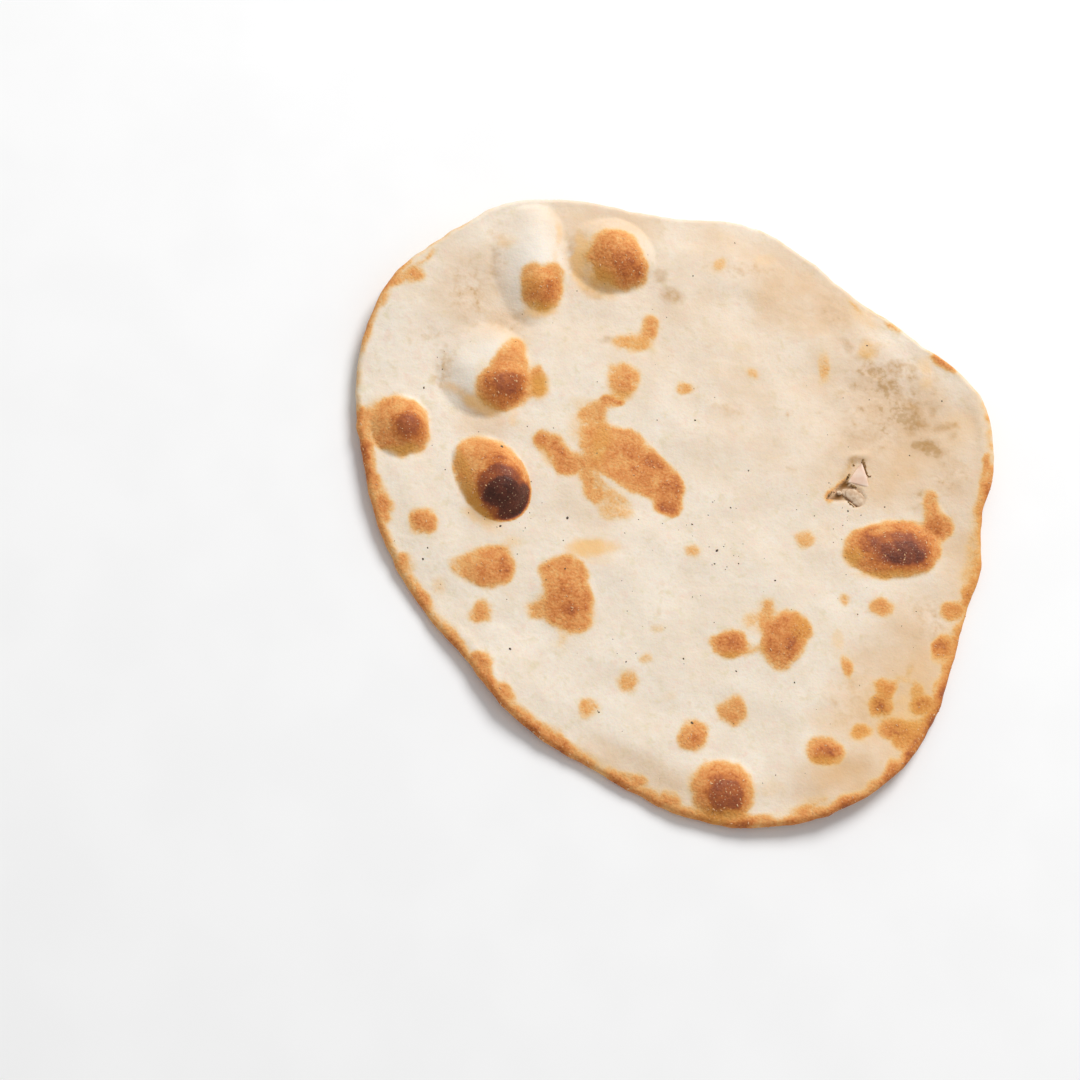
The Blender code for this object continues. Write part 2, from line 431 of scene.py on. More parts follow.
# Where the heat only just browned the skin, without an edge.
SOFT_SCORCHES = (
    Dab(56.5, -57, 9.5, 5.5, 90, 0.36), Dab(69.5, -64.5, 9.5, 8.5, 60, 0.5),
    Dab(68, -71, 11, 9, 15, 0.52), Dab(68, -71.5, 5, 4.5, 0, 0.56), Dab(76, -61.5, 14, 5, -10, 0.16),
    Dab(82.5, -70.5, 9, 7.5, 40, 0.56), Dab(81.5, -65.5, 8.5, 6, 80, 0.3),
    Dab(79.5, -58, 6, 4.5, 80, 0.12), Dab(72, -79, 13, 9.5, 15, 0.5), Dab(77, -81.5, 15, 9.5, 35, 0.54),
    Dab(89, -64.5, 10, 6, 80, 0.3), Dab(92, -48.5, 9.5, 8, 60, 0.58), Dab(93, -50, 14, 11, 70, 0.36),
    Dab(97, -34.5, 10.5, 8.5, 0, 0.46), Dab(60.5, -81, 9.5, 6, 20, 0.42), Dab(2, 43.5, 7.5, 6, -5, 0.3),
    Dab(27, 51.5, 7, 6, 75, 0.22), Dab(54, 55.5, 14.5, 6, 85, 0.24), Dab(15.5, 94.5, 8.5, 6, 10, 0.22),
    Dab(3, -18.5, 8, 6, 10, 0.24), Dab(43.5, -11.5, 8.5, 7.5, 15, 0.28),
    Dab(57, -32.5, 6.5, 6, 50, 0.24), Dab(-15, -58, 6.5, 5, 10, 0.22),
    Dab(-10.5, -47.5, 6.5, 4.5, 5, 0.16), Dab(-27, 90, 24, 19, -70, 0.3), Dab(-72, 44, 14, 9, 60, 0.12),
    Dab(105, -15, 60, 7, 80, 0.18), Dab(91, -61, 50, 6, 65, 0.22), Dab(-108, 21, 22, 15, -80, 0.3),
    Dab(70, 62, 9, 7, 60, 0.12), Dab(-36, 26, 20, 12, 80, 0.14),
)

# Where pale skin shows through a scorched patch.
BARE_STREAKS = (Dab(-23, 3, 17.5, 2.5, -35, 0.8),)

SOFT_MARKS: dict[Mark, tuple[Dab, ...]] = {
    # Painted warm shade in the creases at the feet of blisters, and a golden tint where the heat only just
    # reached.
    Mark.GLOW: (
        Dab(-33, -19, 23, 8.5, 5, 0.95), Dab(-30.5, -23.5, 15.5, 6, 5, 0.35),
        Dab(-45, 99.5, 11.5, 3.5, 90, 0.5), Dab(-46.5, 90, 9.5, 4.5, 90, 0.35),
        Dab(-64.5, 94.5, 10, 7, 10, 0.4), Dab(-81.5, 36, 11, 5.5, -35, 0.55),
        Dab(-75, 31.5, 13, 6.5, -25, 0.8), Dab(-70, 29.5, 11, 5, 0, 0.8),
        Dab(-33.5, 81, 11, 9, -80, 0.4), Dab(-99.5, 12, 14, 4, 5, 0.8), Dab(-52, 69, 13.5, 6, 15, 0.7),
        Dab(33.5, 97.5, 11.5, 6.5, 10, 0.35), Dab(13, 92, 9, 6.5, 10, 0.25),
        Dab(70.5, 63.5, 10, 9, 55, 0.45), Dab(70, 76.5, 16, 10, -30, 0.45),
        Dab(54, -48, 9, 5.5, 85, 0.5), Dab(27, -102, 15.5, 7, 5, 0.3),
        Dab(49.5, -77.5, 21.5, 14, 5, 0.3), Dab(60.5, -69.5, 30, 27, 45, 0.3),
        Dab(79, -72, 44, 24, 75, 0.3), Dab(105, -15.5, 64, 11, 80, 0.35),
        Dab(103.5, 34, 19.5, 16.5, 35, 0.3), Dab(96, -45, 40, 13, 70, 0.3),
        Dab(-72, -11, 18, 6, -30, 0.6), Dab(-7, -71, 7, 4, 5, 0.3), Dab(-60.5, 27.5, 7, 4.5, 90, 0.5),
        Dab(69.5, 63, 8.5, 7.5, 65, 0.5), Dab(91.5, 58, 10.5, 7.5, 80, 0.5),
        Dab(-72.5, -5.5, 22, 6.5, -45, 0.9), Dab(-78.5, 6.5, 18, 4, -75, 0.6),
        Dab(72, -23, 28, 4, 5, 0.6), Dab(60.5, -17.5, 9, 6.5, 90, 0.7), Dab(-30, 83, 20, 8, -35, 0.8),
        Dab(-51.5, 40.5, 12, 7, 90, 0.9), Dab(-50.5, 69.5, 16, 6, 5, 0.8),
        Dab(10.5, -111, 20, 7, 0, 0.6), Dab(46, -91.5, 12, 5, 0, 0.7), Dab(-22, 39, 12, 4, 0, 0.5),
        Dab(-49, 14, 9, 5, -60, 0.5), Dab(79, -74, 27, 18, 60, 0.6), Dab(91, 51.5, 8.5, 5.5, 85, 0.4),
        Dab(-33, 79.5, 15, 7, -10, 0.5), Dab(-55.5, 24.5, 11, 10, 70, 0.2),
        Dab(-73, -9.5, 15, 4.5, -30, 0.5), Dab(-23, 39.5, 19, 4.5, 5, 0.3),
        Dab(-14.5, 59.5, 19, 8, 5, 0.25), Dab(42.5, -105.5, 14, 5.5, 5, 0.35),
        Dab(61, 15.5, 9, 4, 60, 0.35), Dab(40.5, -44.5, 12, 7.5, 75, 0.6),
        Dab(15, -55.5, 11, 4, 5, 0.6), Dab(25, -53, 6, 4, 5, 0.5), Dab(60.5, -81, 12, 8, 20, 0.5),
        Dab(67.5, -69, 21, 13, -90, 0.5), Dab(76, -81.5, 20, 10, 30, 0.5), Dab(-55.5, 77, 9, 9, 0, 0.4),
        Dab(-30, 20, 20, 8, 80, 0.5), Dab(-37, 90.5, 25, 7.5, -90, 0.85),
    ),
    # Olive blotches between the blisters and on the thin dough, and painted crease shade at blister feet and
    # round the tear's pucker.
    Mark.STAIN: (
        Dab(-7, 88, 6.5, 6, 65, 0.6), Dab(-2.5, 80.5, 10, 7.5, -30, 0.7),
        Dab(-25, 60.5, 10.5, 3, 5, 0.5), Dab(-71.5, 29, 8.5, 4, 5, 0.6),
        Dab(-36.8, 91.5, 23, 6.5, -90, 0.5), Dab(-33, 79.5, 12, 5, -20, 0.8),
        Dab(-56.5, 67.5, 11.5, 4.5, 5, 0.3), Dab(62.5, 18.5, 7, 4, 60, 0.9),
        Dab(65, 20.8, 6, 3, 0, 0.8), Dab(-84.5, 37, 8.5, 5, -40, 0.25),
        Dab(-76.5, 33, 15.5, 6, -35, 0.5), Dab(66.5, 29.5, 12, 7, 10, 0.25),
        Dab(62, 65, 7.5, 4.5, -55, 0.5), Dab(68, 61, 8, 3.5, 35, 0.4), Dab(73, 55, 6.5, 4.5, 10, 0.5),
        Dab(80, 57, 8, 6, 75, 0.6), Dab(77, 50.5, 7.5, 4, 25, 0.5), Dab(80.5, 46.5, 6.5, 4, 85, 0.5),
        Dab(83.5, 43, 6, 4.5, -30, 0.6), Dab(87, 41, 8.5, 5, -75, 0.6), Dab(89, 35.5, 7.5, 5, -20, 0.7),
        Dab(84.5, 34, 7.5, 4, 85, 0.5), Dab(93, 40.5, 5.5, 4, 80, 0.4), Dab(95, 34, 7, 4, 70, 0.5),
        Dab(99.5, 35.5, 7.5, 3, 15, 0.7), Dab(100.5, 32, 5, 4, 60, 0.4), Dab(90, 26.5, 12, 5, 0, 0.8),
        Dab(95.5, 25, 7.5, 5, 10, 0.5), Dab(59.5, 14, 7, 5, 85, 0.3), Dab(79.5, -57.5, 6, 4, 80, 0.6),
        Dab(90.5, -46.5, 5, 4, 20, 0.3),
    ),
    # All along the upper side, and more towards the right and the lower right, where it is partly painted
    # shade.
    Mark.TOAST: (
        Dab(104, 15, 84, 37, 85, 0.5), Dab(79, 28.5, 68, 58, 70, 0.6), Dab(77, -64.5, 83, 52, 65, 0.65),
        Dab(58.5, -97.5, 65, 27, 20, 0.75), Dab(100.5, -15.5, 45, 29.5, 80, 0.5),
        Dab(-29.5, 106, 69, 23.5, 10, 0.45), Dab(31, 96.5, 81.5, 30.5, -20, 0.4),
        Dab(60.5, 75, 44.5, 33, -50, 0.4), Dab(-77, 76.5, 40, 37, 25, 0.35),
        Dab(-64, 62.5, 29, 17.5, 10, 0.45), Dab(-71, 25, 24, 14, 5, 0.4),
        Dab(7.5, 67, 110, 64, -10, 0.22), Dab(-17.5, -98.5, 53.5, 18, -25, 0.45),
        Dab(54.5, -13, 23.5, 21, 55, 0.2), Dab(72.5, 16.5, 52, 38, 10, 0.7),
        Dab(46, 82.5, 54, 36, -15, 0.6), Dab(40, 35, 90, 70, 0, 0.25), Dab(74.5, -76, 42, 30, 35, 0.6),
        Dab(63, 51, 48, 42, 20, 0.45), Dab(-30, -1, 46, 42, 65, 0.15),
    ),
    # Towards the upper right, and between the blisters at the left, where the dabs on the blisters' left
    # flanks are painted shade.
    Mark.THIN: (
        Dab(74.5, 52, 22, 17.5, -30, 0.7), Dab(83, 38.5, 19.5, 15.5, 10, 0.75),
        Dab(90, 26.5, 19, 9.5, -5, 0.85), Dab(70.5, 63.5, 10.5, 9.5, 30, 0.5),
        Dab(77.5, 42, 48.5, 44.5, 65, 0.45), Dab(98.5, 14.5, 23, 17.5, 80, 0.4),
        Dab(88.5, 6, 12, 10.5, 20, 0.4), Dab(88, -38.5, 23, 19, 65, 0.35),
        Dab(60.5, -69, 30.5, 27, 45, 0.3), Dab(57, 79, 22, 13.5, -35, 0.35),
        Dab(18, 36.5, 18, 6.5, 5, 0.3), Dab(23.5, 93, 38, 13.5, -5, 0.25),
        Dab(-77, 75, 30, 19, 90, 0.35), Dab(-87.5, 56.5, 28.5, 10.5, 5, 0.25),
        Dab(-64, 64, 22, 9.5, 5, 0.35), Dab(99, 36, 8.5, 4.5, 10, 0.6),
        Dab(39.5, 36.5, 4.5, 3, 10, 0.4), Dab(40, 15.5, 6.5, 5.5, 55, 0.2),
        # Painted shade on the left flanks of the two white blisters and of the top blister.
        Dab(-86, 45, 25, 10, 80, 0.3), Dab(-67.5, 88, 34, 9, 90, 0.3), Dab(-39, 92, 24, 8, 90, 0.35),
    ),
    # Painted shade inside the torn hole.
    Mark.HOLLOW: (
        Dab(59.8, 10.6, 6.5, 4.5, 45, 1), Dab(62.3, 9.8, 4, 1.5, -10, 0.8),
        Dab(56.8, 5.5, 8, 3.2, 20, 0.9), Dab(65.2, 3.3, 2.5, 2, 0, 0.5),
    ),
}

# The browned band along the rim: bearing in degrees, how far it reaches in over the upper face
# (below zero it only touches the rim's side, or misses it), and its tone.
RIM_BAND = (
    (0, 0.4, 0.44), (6, 0.8, 0.42), (12, 0.4, 0.34), (19, -0.2, 0.24), (26, -0.6, 0.16),
    (31, 0.2, 0.24), (36, -0.8, 0.12), (41, -0.8, 0.12), (45, -0.2, 0.18), (49, -0.6, 0.12),
    (55, -1.3, 0.06), (100, -1.5, 0.05), (118, -1.5, 0.06), (126, -1.2, 0.14), (133, -0.8, 0.24),
    (140, -0.4, 0.34), (150, -0.2, 0.36), (156, -0.4, 0.34), (163, -0.6, 0.30), (168, -0.2, 0.34),
    (173, 1.0, 0.46), (179, 0.7, 0.46), (186, 0.1, 0.38), (196, 0.2, 0.38), (205, 1.0, 0.42),
    (215, 1.2, 0.42), (224, 0.8, 0.41), (235, 1.3, 0.42), (245, 1.0, 0.40), (262, 1.4, 0.43),
    (285, 1.1, 0.46), (300, 1.0, 0.50), (312, 0.9, 0.58), (325, 0.4, 0.56), (338, 0.3, 0.54),
    (348, 0.3, 0.50),
)

# How far the band fades out over the upper face: bearing in degrees and distance.
RIM_FADES = ((0, 4.2), (14, 3.8), (40, 2.2), (185, 2.4), (205, 3.0), (290, 3.2), (312, 3.8), (345, 4.4))


@dataclass(frozen=True)
class HeatMap:
    """How far each point of the skin is browned, from 0 to 1, by the dabs and the rim's band."""

    ragged_x: Layers = ((5.0, 0.9, 11), (1.8, 0.4, 16))  # how ragged the edges are along X and Y
    ragged_y: Layers = ((5.0, 0.9, 12), (1.8, 0.4, 17))
    mottle: Layers = ((6.0, 0.26, 18), (2.4, 0.14, 19))
    fade: float = 2.8  # how far a dab's halo reaches outwards past its edge
    halo: float = 0.24  # the halo's share of the dab's tone
    halo_overlap: float = 0.4  # how far inside the edge the halo is complete
    outset: float = 1.8  # how far outside a dab's edge its browning starts
    softness: float = 0.2  # the depth of full browning, as a share of a dab's width
    least_depth: float = 2.4  # of full browning
    most_depth: float = 4.4
    joining: float = 1.1  # how far neighbouring dabs of one patch flow together
    farthest: float = 30.0  # how many times that far a dab is still told apart
    blending: int = 4  # how closely soft dabs that overlap keep to the strongest one
    soft_span: Span = (0.3, 1.3)  # the shares of the way out where a soft dab fades
    rim_waver: Layers = ((9.0, 1.4, 31), (3.5, 0.9, 32))
    rim_wavering: Span = (0.2, 1.0)  # the least and the most of that waver, by the band's width
    rim_mottle: Layers = ((7.0, 0.2, 33),)
    rim_mottling: float = 3.0  # how fast the mottle grows with the tone
    rim_grain: Layers = ((2.5, 0.07, 34),)
    rim_shallow: float = 0.68  # the tone's share at the band's edge
    rim_deepening: float = 0.36  # what it gains over the depths in rim_span
    rim_span: Span = (-0.5, 3.0)
    rim_overlap: float = 0.9  # how far inside its edge the band is complete

    def ragged(self, x: Array, y: Array) -> tuple[Array, Array]:
        """Shift places a little, so that no oval keeps a clean edge.

        Args:
            x: places along X.
            y: places along Y.

        Returns:
            The shifted places.
        """
        return x + unevenness(x, y, self.ragged_x), y + unevenness(x, y, self.ragged_y)

    def scorch(self, x: Array, y: Array, patches: list[tuple[Dab, ...]]) -> Array:
        """Join scorch dabs into one map; a darker dab rises more slowly from its edge.

        Args:
            x: places along X.
            y: places along Y.
            patches: the dabs of each patch.

        Returns:
            The heat at each place.
        """
        x, y = self.ragged(x, y)
        heat = np.zeros_like(x)
        for dabs in patches:
            weight, toned = np.zeros_like(x), np.zeros_like(x)
            for dab in dabs:
                depth = dab.measure(x, y)[1]
                heat = np.maximum(heat, dab.tone * self.edge(depth, self.softness * dab.width))
                pull = np.exp(np.clip(depth / self.joining, -self.farthest, self.farthest))
                weight += pull
                toned += pull * dab.tone
            joined = self.joining * np.log(weight)
            rise = self.softness * sum(dab.width for dab in dabs) / len(dabs)
            heat = np.maximum(heat, toned / weight * self.edge(joined, rise))
        return heat * (1 + unevenness(x, y, self.mottle) * (1 - heat))

    def edge(self, depth: Array, rise: float) -> Array:
        """How the heat grows from a patch's edge inwards: a faint halo, then the browning itself.

        Args:
            depth: depths inside the edge.
            rise: the depth at which the browning is complete.

        Returns:
            The share of the patch's tone.
        """
        full = min(max(rise, self.least_depth), self.most_depth)
        halo = self.halo * smoothstep(-self.fade, self.halo_overlap, depth)
        return halo + (1 - self.halo) * smoothstep(-self.outset, full, depth)

    def soft(self, x: Array, y: Array, dabs: tuple[Dab, ...]) -> Array:
        """Lay soft dabs over each other without edges.

        Args:
            x: places along X.
            y: places along Y.
            dabs: the dabs.

        Returns:
            The tone at each point, close to the strongest dab's.
        """
        x, y = self.ragged(x, y)
        tones = [dab.tone * (1 - smoothstep(*self.soft_span, dab.measure(x, y)[0])) for dab in dabs]
        return sum(tone**self.blending for tone in tones) ** (1 / self.blending)

    def rim(self, x: Array, y: Array, inward: Array) -> Array:
        """The browned band along the rim.

        Args:
            x: places along X.
            y: places along Y.
            inward: distances in from the edge of the flat face, below zero on the rim's side.

        Returns:
            The heat at each place.
        """
        bearings, widths, tones = np.array(RIM_BAND).T
        bearing = np.degrees(np.arctan2(y, x))
        width, tone = (np.interp(bearing, bearings, values, period=360) for values in (widths, tones))
        fade = np.interp(bearing, *np.array(RIM_FADES).T, period=360)
        depth = width + unevenness(x, y, self.rim_waver) * np.clip(width, *self.rim_wavering) - inward
        tone = tone * (self.rim_shallow + self.rim_deepening * smoothstep(*self.rim_span, depth))
        tone = tone + unevenness(x, y, self.rim_mottle) * np.clip(self.rim_mottling * tone, 0, 1)
        tone = tone + unevenness(x, y, self.rim_grain)
        return tone * smoothstep(0.0, 1.0, (depth + fade) / (fade + self.rim_overlap))


# ---------------------------------------------------------------- the bread's shape


@dataclass(frozen=True)
class Blister:
    """A pocket of steam under the skin.

    Its base is an oval: centre, full length and width, and turn from +X in degrees. lean moves its
    top off the base's centre, as shares of the base's half sizes along X and Y, fall says how
    steeply its foot meets the sheet, and moat is the depth of the crease round its foot.
    """

    x: float
    y: float
    length: float
    width: float
    turn: float
    height: float
    lean: tuple[float, float] = (0.0, 0.0)
    fall: float = 1.0
    moat: float = 0.0
    dents: Layers = ((8.0, 0.06, 71),)
    moat_place: float = 1.04  # the crease's share of the way out
    moat_spread: float = 2.6  # how many times the crease's spread goes into the base's width

    def measure(self, x: Array, y: Array) -> tuple[Array, Array, Array]:
        """Measure points against the base.

        Args:
            x: places along X.
            y: places along Y.

        Returns:
            Each point's place along and across the base, and its share of the way to the foot.
        """
        turn = math.radians(self.turn)
        dx, dy = x - self.x, y - self.y
        along = (dx * math.cos(turn) + dy * math.sin(turn)) / (self.length / 2)
        across = (dy * math.cos(turn) - dx * math.sin(turn)) / (self.width / 2)
        return along, across, np.hypot(along, across)

    def rise(self, x: Array, y: Array) -> Array:
        """The height that the blister adds.

        Args:
            x: places along X.
            y: places along Y.

        Returns:
            Its height at each place, in millimetres.
        """
        turn = math.radians(self.turn)
        along, across, foot = self.measure(x, y)
        lean_along = self.lean[0] * math.cos(turn) + self.lean[1] * math.sin(turn)
        lean_across = self.lean[1] * math.cos(turn) - self.lean[0] * math.sin(turn)
        room = np.clip(1 - foot**2, 0, 1)
        off_top = np.hypot(along - lean_along * room, across - lean_across * room)
        off_top = off_top + unevenness(x, y, self.dents) * np.clip(foot, 0, 1)
        dome = self.height * np.clip(1 - off_top**2, 0, 1) ** self.fall
        return dome - self.moat * np.exp(-(((foot - self.moat_place) * self.width / self.moat_spread) ** 2))


BLISTERS = {
    "first_white": Blister(-71.5, 45.5, 37, 33.5, 75, 6.2, lean=(0.24, -0.16), fall=1.2, moat=0.1),
    "second_white": Blister(-55.0, 89.5, 51, 28, 90, 5.4, lean=(0.15, -0.15), fall=1.4, moat=0.1),
    "top": Blister(-25.0, 94.0, 32, 30, 0, 5.4, lean=(0.1, -0.12), fall=1.05, moat=0.15),
    "left": Blister(-100.0, 21.5, 23.5, 20.5, 80, 4.6, lean=(0.15, 0.0), fall=1.05, moat=0.1),
    CHARRED: Blister(-68.4, 5.2, 33, 24.5, -60, 8.0, lean=(0.28, -0.2), fall=1.0, moat=0.1),
    "dark": Blister(76.0, -13.3, 36, 22, 5, 2.8, fall=1.0),
    "bottom": Blister(10.5, -102.5, 24, 21.5, 20, 2.4, fall=1.1),
    "lower_patch": Blister(34.6, -48.9, 21, 18, 75, 1.0, fall=1.2),
    "square_patch": Blister(-43.3, -36.5, 28, 23, 83, 1.0, fall=1.2),
    "large_patch": Blister(-21.0, 12.5, 42, 27, -39, 1.0, fall=1.2),
}
WHITE_BLISTERS = ("first_white", "second_white")

# Smaller bulges on top of the blisters, where the skin touched the heat.
BULGES = (
    Blister(-64.0, 38.5, 20, 16, 30, 1.5), Blister(-51.0, 76.5, 16, 14, 20, 1.4),
    Blister(-22.0, 90.5, 24, 21, -58, 1.1), Blister(-98.0, 20.5, 15, 13, 85, 1.0),
    Blister(-64.5, 1.0, 20, 17, 35, 1.2), Blister(91.5, -1.0, 12, 9, 60, 0.7),
    Blister(-69.0, -28.5, 17, 15, 25, 0.7), Blister(-91.0, -13.0, 10, 9, 0, 0.4),
    Blister(1.0, -85.0, 11, 10, 60, 0.5), Blister(15.5, -74.5, 11, 9, 45, 0.4),
    Blister(15.0, -52.0, 11, 9, 15, 0.4), Blister(47.0, -88.5, 12, 8, 5, 0.5),
    Blister(-21.0, 45.5, 13, 11, 80, 0.4), Blister(69.0, -68.0, 13, 9, 90, 0.5),
)


@dataclass(frozen=True)
class Tear:
    """A small hole torn in the upper skin, with the crumb showing in it."""

    outline: tuple[tuple[float, float], ...] = (
        (51.9, 4.6), (53.5, 6.6), (56.6, 9.7), (59.3, 12.4), (60.5, 13.6), (61.4, 10.6),
        (65.1, 8.9), (66.6, 5.6), (65.5, 2.7), (62.8, 1.6), (60.4, 4.2), (55.6, 3.9),
    )
    depth: float = 1.0
    wall: float = 0.8  # over how far its sides fall
    lip: float = 0.2  # how far outside its edge they start to
    floor: Layers = ((1.8, 0.35, 21),)
    pucker: Blister = Blister(65.0, 21.4, 11, 4.5, 15, 0.7, fall=1.3)  # skin that the tear pulled up

    def inside(self, x: Array, y: Array) -> Array:
        """The depth inside the hole's edge.

        Args:
            x: places along X.
            y: places along Y.

        Returns:
            The distance to the edge, positive inside the hole.
        """
        nearest = np.full_like(x, np.inf)
        within = np.zeros(x.shape, bool)
        corners = self.outline
        for (ax, ay), (bx, by) in zip(corners, corners[1:] + corners[:1]):
            share = ((x - ax) * (bx - ax) + (y - ay) * (by - ay)) / ((bx - ax) ** 2 + (by - ay) ** 2)
            share = np.clip(share, 0, 1)
            away = np.hypot(x - ax - share * (bx - ax), y - ay - share * (by - ay))
            nearest = np.minimum(nearest, away)
            crosses = ((ay > y) != (by > y)) & (x < (bx - ax) * (y - ay) / (by - ay + 1e-9) + ax)
            within ^= crosses
        return np.where(within, nearest, -nearest)


class PackedBread:
    """The CAD bread's outline and underside, read from its node as smooth functions."""

    BEARINGS = 720
    SHARES = 32
    EDGE_SHARE = 0.97  # the last share at which the underside is read
    WIDEST = 140.0
    NARROWEST = 80.0
    ROUNDS = 14  # halvings that find the edge
    SMOOTHING = 1.5  # in bearing steps
    REACH = 6  # how many bearing steps it takes in on each side
    BELOW = -10.0  # a height well under the bread

    def __init__(self, node: bpy.types.Object) -> None:
        """Read the node.

        Args:
            node: the CAD node's object.
        """
        self.tree = BVHTree.FromObject(node, bpy.context.evaluated_depsgraph_get())
        self.bearings = np.arange(self.BEARINGS) * 360 / self.BEARINGS
        self.reaches = self.round_off(np.array([self.find_edge(bearing) for bearing in self.bearings]))
        self.shares = np.linspace(0, self.EDGE_SHARE, self.SHARES)
        heights = [
            [self.find_underside(bearing, reach * share) for share in self.shares]
            for bearing, reach in zip(self.bearings, self.reaches)
        ]
        self.heights = self.round_off(np.array(heights))

    def round_off(self, values: Array) -> Array:
        """Smooth values round the bread.

        Args:
            values: one row for each bearing.

        Returns:
            The same values with the CAD facets smoothed away.
        """
        steps = np.arange(-self.REACH, self.REACH + 1)
        weights = np.exp(-((steps / (2 * self.SMOOTHING)) ** 2))
        rolled = [weight * np.roll(values, step, axis=0) for weight, step in zip(weights, steps)]
        return np.sum(rolled, axis=0) / weights.sum()

    def ray(self, bearing: float, distance: float, height: float, heading: float) -> float | None:
        """Look straight up or down at the bread.

        Args:
            bearing: the bearing in degrees.
            distance: the distance from the middle.
            height: where the look starts.
            heading: 1 to look up, -1 to look down.

        Returns:
            The height that is hit, or None.
        """
        turn = math.radians(bearing)
        start = Vector((distance * math.cos(turn), distance * math.sin(turn), height)) * MM
        place = self.tree.ray_cast(start, Vector((0, 0, heading)))[0]
        return None if place is None else place.z / MM

    def find_edge(self, bearing: float) -> float:
        """The distance from the middle to the outline at a bearing.

        Args:
            bearing: the bearing in degrees.

        Returns:
            The distance.
        """
        near, far = self.NARROWEST, self.WIDEST
        for _ in range(self.ROUNDS):
            middle = (near + far) / 2
            if self.ray(bearing, middle, OVERHEAD, -1) is None:
                far = middle
            else:
                near = middle
        return near

    def find_underside(self, bearing: float, distance: float) -> float:
        """The underside's height over the table at one place."""
        return self.ray(bearing, distance, self.BELOW, 1) or 0.0

    def reach(self, bearing: Array) -> Array:
        """The outline's distance from the middle at each bearing."""
        return np.interp(bearing, self.bearings, self.reaches, period=360)

    def underside(self, bearing: Array, share: Array) -> Array:
        """The underside's height over the table.

        Args:
            bearing: the places' bearings in degrees.
            share: their shares of the way from the middle to the outline.

        Returns:
            The heights, carried on in a straight line past the last share that was read.
        """
        row = (bearing % 360) / 360 * self.BEARINGS
        column = np.minimum(share, 1.0) / self.EDGE_SHARE * (self.SHARES - 1)
        i, j = np.floor(row).astype(int), np.minimum(np.floor(column).astype(int), self.SHARES - 2)
        a, b = row - i, column - j
        this, following = self.heights[i % self.BEARINGS], self.heights[(i + 1) % self.BEARINGS]
        pick = np.arange(i.size).reshape(i.shape)
        this, following = this.reshape(i.size, -1), following.reshape(i.size, -1)
        here = this[pick, j] * (1 - b) + this[pick, j + 1] * b
        there = following[pick, j] * (1 - b) + following[pick, j + 1] * b
        return np.maximum(0.0, here * (1 - a) + there * a)


